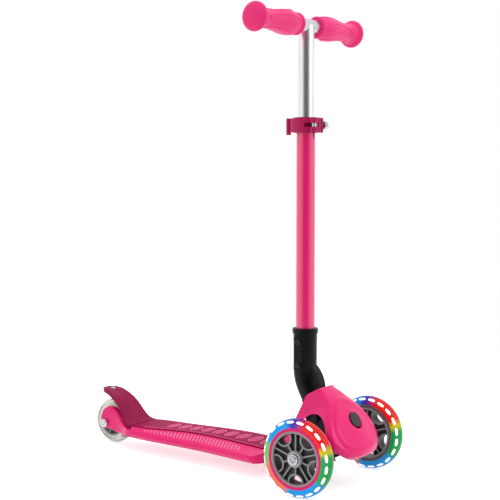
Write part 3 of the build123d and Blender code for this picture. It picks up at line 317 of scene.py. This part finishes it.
def metal(name, colour, rough, along=(1, 1, 1)):
    """Drawn or plated metal: fine specks, pulled into streaks along an axis of low scale."""
    finish, shader, add, join = start_finish(name)
    shader.inputs["Metallic"].default_value = 1.0
    place = add("ShaderNodeTexCoord")
    stretch = add("ShaderNodeMapping")
    stretch.inputs["Scale"].default_value = along
    join(place.outputs["Object"], stretch.inputs["Vector"])
    streak = add("ShaderNodeTexNoise")
    streak.inputs["Scale"].default_value = 400
    streak.inputs["Detail"].default_value = 3
    join(stretch.outputs["Vector"], streak.inputs["Vector"])
    darker = [0.93 * value for value in colour]
    mottle(finish, streak, (darker, colour), (0.3, 0.7), (0.75 * rough, 1.3 * rough))
    return finish


def star_head(name, centre, axis, size, finish, body):
    """Domed head with a star recess over a plain one; size is radius, plain height and recess."""
    radius, high, recess = size
    star_depth = 0.16
    star_points = 6
    sides = 48
    rings = (
        (radius, 0, 0.2 * mm),
        (radius, 0, high * 0.6),
        (radius * 0.97, 0, high * 0.8),
        (radius * 0.8, 0, high + 0.5 * mm),
        (recess * 1.15, star_depth, high + 1.0 * mm),
        (recess, star_depth, high + 0.9 * mm),
        (recess * 0.94, star_depth, high + 0.06 * mm),
        (recess * 0.2, 0, high + 0.06 * mm),
    )
    axis = Vector(axis)
    across = axis.orthogonal().normalized()
    beside = axis.cross(across)
    points = []
    for ring_r, wave, height in rings:
        for step in range(sides):
            turn = 2 * pi * step / sides
            reach = ring_r * (1 + wave * cos(star_points * turn))
            out = across * cos(turn) + beside * sin(turn)
            points.append(Vector(centre) + axis * height + reach * out)
    faces = grid_faces(len(rings), sides, closed=True)
    faces.append(tuple(range((len(rings) - 1) * sides, len(rings) * sides)))
    piece(name, points, faces, finish, body)


zinc = metal("zinc", (205, 206, 210), rough=0.24)
axle_steel = metal("axle_steel", (172, 172, 177), rough=0.2)
dress(
    zinc, "chassis_screws", "housing_screws", "kingpin", "kingpin_nut",
    "latch_pin", "latch_pawl", "button_spring", "rear_axle", "rear_axle_nut", "rear_spacers",
    "front_axle_bolts", "left_bearings", "right_bearings", "rear_bearings", "brake_plate",
    "brake_screw", "arm_nuts", "clamp_bolt", "clamp_barrel",
)
bush_rubber = moulded("bush_rubber", (30, 30, 31), rough=0.7, grain=0.4 * mm, depth=0.04 * mm)
dress(bush_rubber, "steering_bushings")
dress(metal("copper_winding", (184, 115, 60), rough=0.35, along=(1, 20, 1)), "generator_cores")

axle_z = sum(corner.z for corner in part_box("left_tyre")) / 2
axle_head_y = 119.4 * mm
axle_head = (8.1 * mm, 4.0 * mm, 4.4 * mm)
for side, name in ((-1, "right_axle_star"), (1, "left_axle_star")):
    head_at = (front_x, side * axle_head_y, axle_z)
    star_head(name, head_at, (0, side, 0), axle_head, axle_steel, "truck")

rear_x = sum(corner.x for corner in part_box("rear_tyre")) / 2
rear_z = sum(corner.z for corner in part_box("rear_tyre")) / 2
rear_head_at = (rear_x, -27.5 * mm, rear_z)
rear_head = (7.1 * mm, 4.5 * mm, 4.0 * mm)
star_head("rear_axle_star", rear_head_at, (0, -1, 0), rear_head, zinc, "deck")

screw_low, screw_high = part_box("brake_screw")
screw_head_high = 2.4 * mm
screw_head = (4.4 * mm, screw_head_high, 2.2 * mm)
screw_at = ((screw_low.x + screw_high.x) / 2, 0, screw_high.z - screw_head_high)
star_head("brake_star", screw_at, (0, 0, 1), screw_head, zinc, "brake")

# Rear wheel: clear cast polyurethane on a grey spoked core, with a pair of bearings pressed in.
# The clear tyre shows milky at its thick shoulders.


def cast_clear(name, colour, through):
    """Clear cast tyre: faint clouds in its colour, soft gloss, light goes part way through."""
    finish = moulded(name, colour, rough=0.14, grain=6 * mm, depth=0.01 * mm, shine=0.5)
    shader = finish.node_tree.nodes["Principled BSDF"]
    shader.inputs["Transmission Weight"].default_value = through
    shader.inputs["IOR"].default_value = 1.48
    shader.inputs["Coat Weight"].default_value = 0.4
    return finish


dress(cast_clear("clear_tyre", (206, 204, 194), through=0.75), "rear_tyre")
rear_core = moulded("rear_core", (150, 152, 156), rough=0.4, grain=0.7 * mm, depth=0.03 * mm)
dress(rear_core, "rear_rim")

# Brake: a raspberry fender hooked on its bead behind the deck, with contour lines under the heel.
# A steel plate under it rubs the tyre, and one star screw is sunk in it near its tip.
brake_centre = (rear_x + 8 * mm, -12 * mm, 92 * mm)
brake_tread = contoured("brake_tread", (146, 16, 70), pitch=5 * mm, centre=brake_centre, shine=0.12)
dress(brake_tread, "brake_fender")

contour_pink = moulded(
    "contour_pink", (162, 32, 84), rough=0.45, grain=0.6 * mm, depth=0.02 * mm, shine=0.2
)
brake_skin = surface("brake_fender")
contour_count = 9
contour_x = rear_x + 22 * mm
contour_y = 3 * mm
contour_first = 4 * mm
contour_gap = 3.2 * mm
contour_stretch = 1.05
wave_count = 3
wave_share = 0.07
wave_drift = 0.7
contour_half = 0.7 * mm
contour_high = 0.35 * mm
contour_steps = 72
contour_points = []
contour_faces = []
for number in range(contour_count):
    wide = contour_first + contour_gap * number
    track = []
    for step in range(contour_steps + 1):
        turn = 2 * pi * (step % contour_steps) / contour_steps
        reach = wide * (1 + wave_share * sin(wave_count * turn + wave_drift * number))
        x = contour_x + contour_stretch * reach * cos(turn)
        y = contour_y + reach * sin(turn)
        track.append((x, y))
    bead(brake_skin, track, contour_half, contour_high, contour_points, contour_faces)
piece("brake_contours", contour_points, contour_faces, contour_pink, "brake")

# Front housing: the egg-shaped pink cover over the chassis, a glossy moulding with a domed face.
# A soft oval ridge frames the button, and four screws from behind hold it on.
dress(pink_shell, "front_housing")
cover_skin = surface("front_housing")
head_tilt = radians(28)
face_out = Vector((cos(head_tilt), 0, sin(head_tilt)))
face_up = Vector((-sin(head_tilt), 0, cos(head_tilt)))
button_at = Vector((front_x + 35.7 * mm, 0, 105 * mm))
face_clear = 40 * mm
ridge_wide = 46 * mm
ridge_tall = 43 * mm
ridge_drop = 5 * mm
ridge_egg = 0.28
ridge_high = 1.8 * mm
ridge_rows = (
    (8 * mm, -0.05), (5 * mm, 0.35), (2 * mm, 0.85), (0, 1.0),
    (-3 * mm, 0.85), (-7 * mm, 0.45), (-12 * mm, 0.12), (-16 * mm, -0.05),
)
ridge_steps = 72
ridge_points = []
for outset, lift in ridge_rows:
    for step in range(ridge_steps):
        turn = 2 * pi * step / ridge_steps
        across = (ridge_wide + outset) * cos(turn) * (1 - ridge_egg * sin(turn))
        up = (ridge_tall + outset) * sin(turn) - ridge_drop
        start = button_at + face_out * face_clear + Vector((0, across, 0)) + face_up * up
        at, normal = land(cover_skin, start, -face_out)
        ridge_points.append(at + normal * lift * ridge_high)
ridge_faces = grid_faces(len(ridge_rows), ridge_steps, closed=True)
piece("face_ridge", ridge_points, ridge_faces, pink_shell, "deck")

# Fold button: a dark grey nylon cap in the cover's face, moulded in one with its stem.
# A spring behind the cap pushes it out, and the stem's tip turns the latch pawl when it goes in.
button_grey = moulded("button_grey", (48, 48, 51), rough=0.35, grain=0.5 * mm, depth=0.03 * mm)
dress(button_grey, "fold_button")

# Hinge arm: the black elbow that carries the column, a satin nylon moulding with a deep socket.
# Two star bolts cross its flat pad and the column's foot, and it folds on a blackened pin.
arm_black = moulded(
    "arm_black", (12, 12, 13), rough=0.34, grain=0.7 * mm, depth=0.03 * mm, shine=0.15
)
dress(arm_black, "hinge_arm", "arm_bolts")
dress(metal("black_oxide", (46, 46, 48), rough=0.4), "fold_pin", "fold_pin_nut")
bolt_black = metal("bolt_black", (58, 58, 60), rough=0.36)
column_x = sum(corner.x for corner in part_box("column")) / 2
arm_head_x = column_x - 0.5 * mm
arm_head_y = -19.8 * mm
arm_head = (5.1 * mm, 1.8 * mm, 2.4 * mm)
for name, height in (("arm_star_0", 221 * mm), ("arm_star_1", 183 * mm)):
    head_at = (arm_head_x, arm_head_y, height)
    star_head(name, head_at, (0, -1, 0), arm_head, bolt_black, "mast")

# Column: a drawn steel tube in metallic pink lacquer under a clear coat.
# Its foot is bolted in the arm's socket, and its top is slit where the clamp squeezes it.
lacquer, lacquer_shader, add_node, join_sockets = start_finish("pink_lacquer")
lacquer_place = add_node("ShaderNodeTexCoord")
flake = add_node("ShaderNodeTexVoronoi")
flake.inputs["Scale"].default_value = 2600
join_sockets(lacquer_place.outputs["Object"], flake.inputs["Vector"])
flake_tint = add_node("ShaderNodeValToRGB")
flake_deep, flake_light = flake_tint.color_ramp.elements
flake_deep.color = linear((232, 2, 106))
flake_light.color = linear((246, 8, 116))
join_sockets(flake.outputs["Distance"], flake_tint.inputs["Fac"])
join_sockets(flake_tint.outputs["Color"], lacquer_shader.inputs["Base Color"])
lacquer_shader.inputs["Metallic"].default_value = 0.1
lacquer_shader.inputs["Roughness"].default_value = 0.35
lacquer_shader.inputs["Specular IOR Level"].default_value = 0.2
lacquer_shader.inputs["Coat Weight"].default_value = 1.0
lacquer_shader.inputs["Coat IOR"].default_value = 1.9
lacquer_shader.inputs["Coat Roughness"].default_value = 0.12
dress(lacquer, "column")

# Clamp: a raspberry nylon collar round the column's slit top, drawn tight by a cam lever.
# The lever turns on a steel barrel, and a knurled nut sets the cross bolt's length.
clamp_nylon = moulded("clamp_nylon", (178, 28, 88), rough=0.36, grain=0.6 * mm, depth=0.03 * mm)
dress(clamp_nylon, "clamp_collar", "clamp_lever")
dress(metal("knurled_nut", (196, 196, 200), rough=0.32), "clamp_nut")

# T-bar: a polished aluminium stem that slides in the column, with the crossbar through its top.
# Both are drawn tubes, welded where they cross, with fine polishing streaks along them.
dress(metal("polished_bar", (244, 244, 246), rough=0.25, along=(1, 1, 0.02)), "stem_tube")
# The crossbar is the stem's polished aluminium in a darker grey: painted shade.
dress(metal("shaded_polished_cross", (216, 216, 220), rough=0.28, along=(1, 0.02, 1)), "crossbar")

# Grips: soft pink rubber sleeves pushed over the bar ends, with a mushroom end to guard the hand.
# Raised ovals run round each barrel, and rings are moulded into the end.
grip_pink = moulded("grip_rubber", (252, 50, 128), rough=0.45, grain=0.5 * mm, depth=0.05 * mm)
grip_pink.node_tree.nodes["Principled BSDF"].inputs["Sheen Weight"].default_value = 0.05
bar_z = sum(corner.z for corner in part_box("crossbar")) / 2
oval_count = 4
oval_y = 81 * mm
oval_long = 38 * mm
oval_wide = 8.2 * mm
barrel_r = 16 * mm
clear_of_grip = 60 * mm
oval_rows = (
    (2.0 * mm, -0.2 * mm), (1.1 * mm, 0.8 * mm), (0, 1.2 * mm),
    (-1.1 * mm, 0.8 * mm), (-2.0 * mm, -0.2 * mm),
)
end_rings = (16.5 * mm, 11.5 * mm, 6.5 * mm, 2.0 * mm)
past_grip = 167 * mm
end_rows = (
    (1.5 * mm, -0.2 * mm), (0.8 * mm, 0.5 * mm), (0, 0.8 * mm),
    (-0.8 * mm, 0.5 * mm), (-1.5 * mm, -0.2 * mm),
)
grip_steps = 56
for side, name in ((-1, "right_grip"), (1, "left_grip")):
    dress(grip_pink, name)
    grip_skin = surface(name)
    points = []
    faces = []
    for panel in range(oval_count):
        middle = 2 * pi * panel / oval_count
        first = len(points)
        for outset, lift in oval_rows:
            for step in range(grip_steps):
                turn = 2 * pi * step / grip_steps
                y = side * (oval_y + (oval_long + outset) * cos(turn))
                swing = middle + (oval_wide + outset) / barrel_r * sin(turn)
                out = Vector((cos(swing), 0, sin(swing)))
                start = Vector((column_x, y, bar_z)) + out * clear_of_grip
                at, normal = land(grip_skin, start, -out)
                points.append(at + normal * lift)
        faces += grid_faces(len(oval_rows), grip_steps, first, closed=True)
    piece(f"{name}_ovals", points, faces, grip_pink, "handlebar")
    points = []
    faces = []
    for radius in end_rings:
        first = len(points)
        for outset, lift in end_rows:
            for step in range(grip_steps):
                turn = 2 * pi * step / grip_steps
                out = (radius + outset) * Vector((cos(turn), 0, sin(turn)))
                start = Vector((column_x, side * past_grip, bar_z)) + out
                at, normal = land(grip_skin, start, (0, -side, 0))
                points.append(at + normal * lift)
        faces += grid_faces(len(end_rows), grip_steps, first, closed=True)
    piece(f"{name}_rings", points, faces, grip_pink, "handlebar")

# Front wheels: a dark nylon core, paler on its faces further from its middle, a pink lamp carrier
# and a clear cast tyre.
# Lamps in the carrier shine through the tyre as bands of colour and white dashes on its shoulders.
# A raised lip covers the carrier's joints, pink on the outer face and grey on the inner one.
lamp_violet = (64, 54, 174)
lamp_red = (232, 36, 34)
lamp_yellow = (214, 205, 30)
lamp_green = (10, 162, 78)
lamp_blue = (0, 154, 228)
lamp_coral = (236, 118, 90)
lamp_lime = (116, 198, 104)
lamp_bands = (
    (0.0, lamp_violet),
    (0.05, lamp_red), (0.17, lamp_red),
    (0.2, lamp_yellow),
    (0.225, lamp_green), (0.34, lamp_green),
    (0.365, lamp_blue), (0.53, lamp_blue),
    (0.56, lamp_coral), (0.68, lamp_coral),
    (0.73, lamp_lime), (0.8, lamp_lime),
    (0.83, lamp_blue), (0.95, lamp_blue),
    (0.985, lamp_violet),
)


def set_stops(ramp, stops):
    """Gives a colour ramp its stops, each a position and a linear colour."""
    while len(ramp.elements) < len(stops):
        ramp.elements.new(0.5)
    for element, (position, colour) in zip(ramp.elements, stops):
        element.position = position
        element.color = colour


def lit_tyre(name, centre):
    """Clear tyre in the lamps' colours by the angle round the axle, darker at its crown."""
    finish = cast_clear(name, (235, 238, 240), through=0.1)
    nodes = finish.node_tree.nodes
    join = finish.node_tree.links.new
    shader = nodes["Principled BSDF"]
    from_axle = nodes.new("ShaderNodeVectorMath")
    from_axle.operation = "SUBTRACT"
    from_axle.inputs[1].default_value = centre
    parts = nodes.new("ShaderNodeSeparateXYZ")
    turn = nodes.new("ShaderNodeMath")
    turn.operation = "ARCTAN2"
    share = nodes.new("ShaderNodeMath")
    share.operation = "MULTIPLY_ADD"
    share.inputs[1].default_value = 1 / (2 * pi)
    share.inputs[2].default_value = 1.0
    once = nodes.new("ShaderNodeMath")
    once.operation = "FRACT"
    bands = nodes.new("ShaderNodeValToRGB")
    set_stops(bands.color_ramp, [(position, linear(colour)) for position, colour in lamp_bands])
    join(nodes["Texture Coordinate"].outputs["Object"], from_axle.inputs[0])
    join(from_axle.outputs["Vector"], parts.inputs["Vector"])
    join(parts.outputs["X"], turn.inputs[0])
    join(parts.outputs["Z"], turn.inputs[1])
    join(turn.outputs["Value"], share.inputs[0])
    join(share.outputs["Value"], once.inputs[0])
    join(once.outputs["Value"], bands.inputs["Fac"])
    flat = nodes.new("ShaderNodeVectorMath")
    flat.operation = "MULTIPLY"
    flat.inputs[1].default_value = (1, 0, 1)
    reach = nodes.new("ShaderNodeVectorMath")
    reach.operation = "LENGTH"
    deepen = nodes.new("ShaderNodeMapRange")
    deepen.inputs["From Min"].default_value = 53 * mm
    deepen.inputs["From Max"].default_value = 60.5 * mm
    deepen.inputs["To Min"].default_value = 1.0
    deepen.inputs["To Max"].default_value = 0.8
    crown_tone = nodes.new("ShaderNodeHueSaturation")
    join(from_axle.outputs["Vector"], flat.inputs[0])
    join(flat.outputs["Vector"], reach.inputs[0])
    join(reach.outputs["Value"], deepen.inputs["Value"])
    join(deepen.outputs["Result"], crown_tone.inputs["Value"])
    join(bands.outputs["Color"], crown_tone.inputs["Color"])
    join(crown_tone.outputs["Color"], shader.inputs["Base Color"])
    join(crown_tone.outputs["Color"], shader.inputs["Emission Color"])
    shader.inputs["Emission Strength"].default_value = 0.2
    shader.inputs["Coat Weight"].default_value = 0.05
    shader.inputs["Specular IOR Level"].default_value = 0.2
    return finish


def dark_web_pale_faces(name, dark, pale, middle_y, depth):
    """Core plastic: dark in its web, pale on all that is further than depth from its middle."""
    finish = moulded(name, dark, rough=0.42, grain=0.7 * mm, depth=0.04 * mm)
    nodes = finish.node_tree.nodes
    join = finish.node_tree.links.new
    parts = nodes.new("ShaderNodeSeparateXYZ")
    offset = nodes.new("ShaderNodeMath")
    offset.operation = "SUBTRACT"
    offset.inputs[1].default_value = middle_y
    away = nodes.new("ShaderNodeMath")
    away.operation = "ABSOLUTE"
    edge = nodes.new("ShaderNodeMath")
    edge.operation = "GREATER_THAN"
    edge.inputs[1].default_value = depth
    blend = nodes.new("ShaderNodeMix")
    blend.data_type = "RGBA"
    blend.inputs["B"].default_value = linear(pale)
    join(nodes["Texture Coordinate"].outputs["Object"], parts.inputs["Vector"])
    join(parts.outputs["Y"], offset.inputs[0])
    join(offset.outputs["Value"], away.inputs[0])
    join(away.outputs["Value"], edge.inputs[0])
    join(edge.outputs["Value"], blend.inputs["Factor"])
    join(nodes["Color Ramp"].outputs["Color"], blend.inputs["A"])
    join(blend.outputs["Result"], nodes["Principled BSDF"].inputs["Base Color"])
    return finish


lamp_white = moulded("lamp_white", (252, 252, 250), rough=0.3, grain=1 * mm, depth=0.01 * mm)
lamp_shader = lamp_white.node_tree.nodes["Principled BSDF"]
lamp_shader.inputs["Emission Color"].default_value = linear((255, 255, 250))
lamp_shader.inputs["Emission Strength"].default_value = 0.6
carrier_pink = moulded("lamp_carrier", (228, 14, 108), rough=0.3, grain=0.6 * mm, depth=0.01 * mm)
cap_grey = moulded("cap_grey", (168, 168, 171), rough=0.4, grain=0.6 * mm, depth=0.03 * mm)
lip_grey = moulded("lip_grey", (98, 99, 103), rough=0.42, grain=0.7 * mm, depth=0.04 * mm)
web_grey = (70, 70, 72)
rib_grey = (146, 145, 147)
web_half = 7.6 * mm
half_track = 108 * mm
beside_wheel = 40 * mm
lip_rows = (
    (42.0 * mm, -0.15 * mm), (42.5 * mm, 0.45 * mm), (44.5 * mm, 0.6 * mm),
    (46.5 * mm, 0.5 * mm), (47.2 * mm, -0.15 * mm),
)
lip_steps = 96
crown_r = 12.72 * mm
crown_at = 47.78 * mm
lamp_count = 20
lamp_long = radians(6.9)
lamp_wide = radians(10.8)
lamp_lean = radians(48)
lamp_square = 0.6
lamp_rows = ((1.0, -0.3 * mm), (0.93, 0.12 * mm), (0.5, 0.2 * mm))
lamp_sides = 20
for side, name in ((-1, "right"), (1, "left")):
    wheel_y = side * half_track
    body = f"{name}_wheel"
    dress(lit_tyre(f"{name}_lit_tyre", (front_x, wheel_y, axle_z)), f"{name}_tyre")
    dress(dark_web_pale_faces(f"{name}_core", web_grey, rib_grey, wheel_y, web_half), f"{name}_rim")
    dress(carrier_pink, f"{name}_light_ring")
    dress(cap_grey, f"{name}_dust_cap")
    skins = [surface(f"{name}_{node}") for node in ("rim", "light_ring", "tyre")]
    for face_side, lip, finish, slot in (
        (side, "ring_lip", carrier_pink, "pink_shell"),
        (-side, "core_lip", lip_grey, "black_nylon"),
    ):
        points = []
        for radius, lift in lip_rows:
            start = (front_x + radius, wheel_y + face_side * beside_wheel, axle_z)
            hits = [land(skin, start, (0, -face_side, 0))[0] for skin in skins]
            reach = max(abs(hit.y - wheel_y) for hit in hits if hit is not None) + lift
            for step in range(lip_steps):
                turn = 2 * pi * step / lip_steps
                out = Vector((cos(turn), 0, sin(turn))) * radius
                points.append(Vector((front_x, wheel_y + face_side * reach, axle_z)) + out)
        faces = grid_faces(len(lip_rows), lip_steps, closed=True)
        piece(f"{name}_{lip}", points, faces, finish, body)
    points = []
    faces = []
    for face_side in (-1, 1):
        for number in range(lamp_count):
            middle = 2 * pi * (number + 0.5) / lamp_count
            first = len(points)
            for share, lift in lamp_rows:
                for step in range(lamp_sides):
                    turn = 2 * pi * step / lamp_sides
                    along = copysign(abs(cos(turn)) ** lamp_square, cos(turn))
                    angle = middle + lamp_long * share * along
                    lean = lamp_lean + lamp_wide * share * sin(turn)
                    out = crown_at + (crown_r + lift) * cos(lean)
                    y = wheel_y + face_side * (crown_r + lift) * sin(lean)
                    points.append((front_x + out * sin(angle), y, axle_z + out * cos(angle)))
            faces += grid_faces(len(lamp_rows), lamp_sides, first, closed=True)
            faces.append(tuple(range(len(points) - lamp_sides, len(points))))
    piece(f"{name}_lamps", points, faces, lamp_white, body)

# Studio: a white floor that keeps a faint shadow, even light as in a tent, and the photo's camera.
# A dark card stands behind the camera, so tubes and glossy shells show a dark middle band.


def white_to_sight(tree, share):
    """Adds a value that is share for camera, glossy and transmission rays, and 0 for other rays."""
    path = tree.nodes.new("ShaderNodeLightPath")
    total = path.outputs["Is Camera Ray"]
    for kind in ("Is Glossy Ray", "Is Transmission Ray"):
        either = tree.nodes.new("ShaderNodeMath")
        either.operation = "MAXIMUM"
        tree.links.new(total, either.inputs[0])
        tree.links.new(path.outputs[kind], either.inputs[1])
        total = either.outputs["Value"]
    scaled = tree.nodes.new("ShaderNodeMath")
    scaled.operation = "MULTIPLY"
    scaled.inputs[1].default_value = share
    tree.links.new(total, scaled.inputs[0])
    return scaled.outputs["Value"]


def disc(name, radius, place, facing, finish):
    """Flat round stage piece that faces one way."""
    bpy.ops.mesh.primitive_circle_add(vertices=96, radius=radius, fill_type="NGON", location=place)
    made = bpy.context.object
    made.name = name
    made.rotation_euler = Vector(facing).to_track_quat("Z", "Y").to_euler()
    made.data.materials.append(finish)
    return made


floor_r = 1.4
floor_finish, floor_shader, _, join_sockets = start_finish("floor_white")
floor_shader.inputs["Base Color"].default_value = linear((244, 244, 244))
floor_shader.inputs["Roughness"].default_value = 0.8
floor_shader.inputs["Specular IOR Level"].default_value = 0.1
floor_shader.inputs["Emission Color"].default_value = (1, 1, 1, 1)
join_sockets(white_to_sight(floor_finish.node_tree, 0.6), floor_shader.inputs["Emission Strength"])
disc("floor", floor_r, (0, 0, 0), (0, 0, 1), floor_finish)

card_r = 4.6
card_far = 3.2
card_z = 0.4
card_way = Vector((0.6, -0.8, 0))
card_levels = ((0, 0.1), (0.3, 0.16), (0.62, 0.5), (1.0, 1.0))
card_finish, card_shader, add_node, join_sockets = start_finish("dark_card")
card_place = add_node("ShaderNodeTexCoord")
card_reach = add_node("ShaderNodeVectorMath")
card_reach.operation = "LENGTH"
card_share = add_node("ShaderNodeMapRange")
card_share.inputs["From Max"].default_value = card_r
card_shade = add_node("ShaderNodeValToRGB")
card_stops = [(position, (level, level, level, 1)) for position, level in card_levels]
set_stops(card_shade.color_ramp, card_stops)
join_sockets(card_place.outputs["Object"], card_reach.inputs[0])
join_sockets(card_reach.outputs["Value"], card_share.inputs["Value"])
join_sockets(card_share.outputs["Result"], card_shade.inputs["Fac"])
join_sockets(card_shade.outputs["Color"], card_shader.inputs["Emission Color"])
card_shader.inputs["Emission Strength"].default_value = 1.0
card_shader.inputs["Base Color"].default_value = (0, 0, 0, 1)
card_shader.inputs["Specular IOR Level"].default_value = 0
card_at = card_way * card_far + Vector((0, 0, card_z))
card = disc("dark_card", card_r, card_at, -card_way, card_finish)
card.visible_camera = False
card.visible_transmission = False
card.visible_shadow = False

sky = bpy.data.worlds.new("studio")
sky.use_nodes = True
bpy.context.scene.world = sky
sky_nodes = sky.node_tree.nodes
sky_join = sky.node_tree.links.new
tent = sky_nodes["Background"]
tent.inputs["Color"].default_value = (1, 1, 1, 1)
tent.inputs["Strength"].default_value = 0.9
backdrop = sky_nodes.new("ShaderNodeBackground")
backdrop.inputs["Color"].default_value = (1, 1, 1, 1)
backdrop.inputs["Strength"].default_value = 1.0
sky_mix = sky_nodes.new("ShaderNodeMixShader")
sky_join(white_to_sight(sky.node_tree, 1.0), sky_mix.inputs["Fac"])
sky_join(tent.outputs["Background"], sky_mix.inputs[1])
sky_join(backdrop.outputs["Background"], sky_mix.inputs[2])
sky_join(sky_mix.outputs["Shader"], sky_nodes["World Output"].inputs["Surface"])

for name, place, aim, power, wide in (
    ("front_light", (2.2, 0.6, 1.4), (0.1, 0, 0.3), 9, 1.2),
    ("top_light", (-0.1, 0.2, 2.2), (0, 0, 0.1), 7, 1.6),
    ("near_light", (0.7, -2.4, 1.5), (0, 0, 0.3), 13, 1.2),
):
    lamp = bpy.data.lights.new(name, "AREA")
    lamp.energy = power
    lamp.size = wide
    stand = bpy.data.objects.new(name, lamp)
    stand.visible_glossy = name == "front_light"
    stand.location = place
    stand.rotation_euler = (Vector(aim) - Vector(place)).to_track_quat("-Z", "Y").to_euler()
    bpy.context.scene.collection.objects.link(stand)

camera_dip = radians(3.96)
camera_turn = radians(35.56)
lens = bpy.data.cameras.new("photo_camera")
lens.sensor_width = 36
lens.lens = 82.9
camera = bpy.data.objects.new("photo_camera", lens)
camera.location = (1.16012, -1.54335, 0.4938)
camera.rotation_euler = (pi / 2 - camera_dip, 0, camera_turn)
bpy.context.scene.collection.objects.link(camera)
bpy.context.scene.camera = camera
bpy.context.scene.view_settings.view_transform = "Standard"
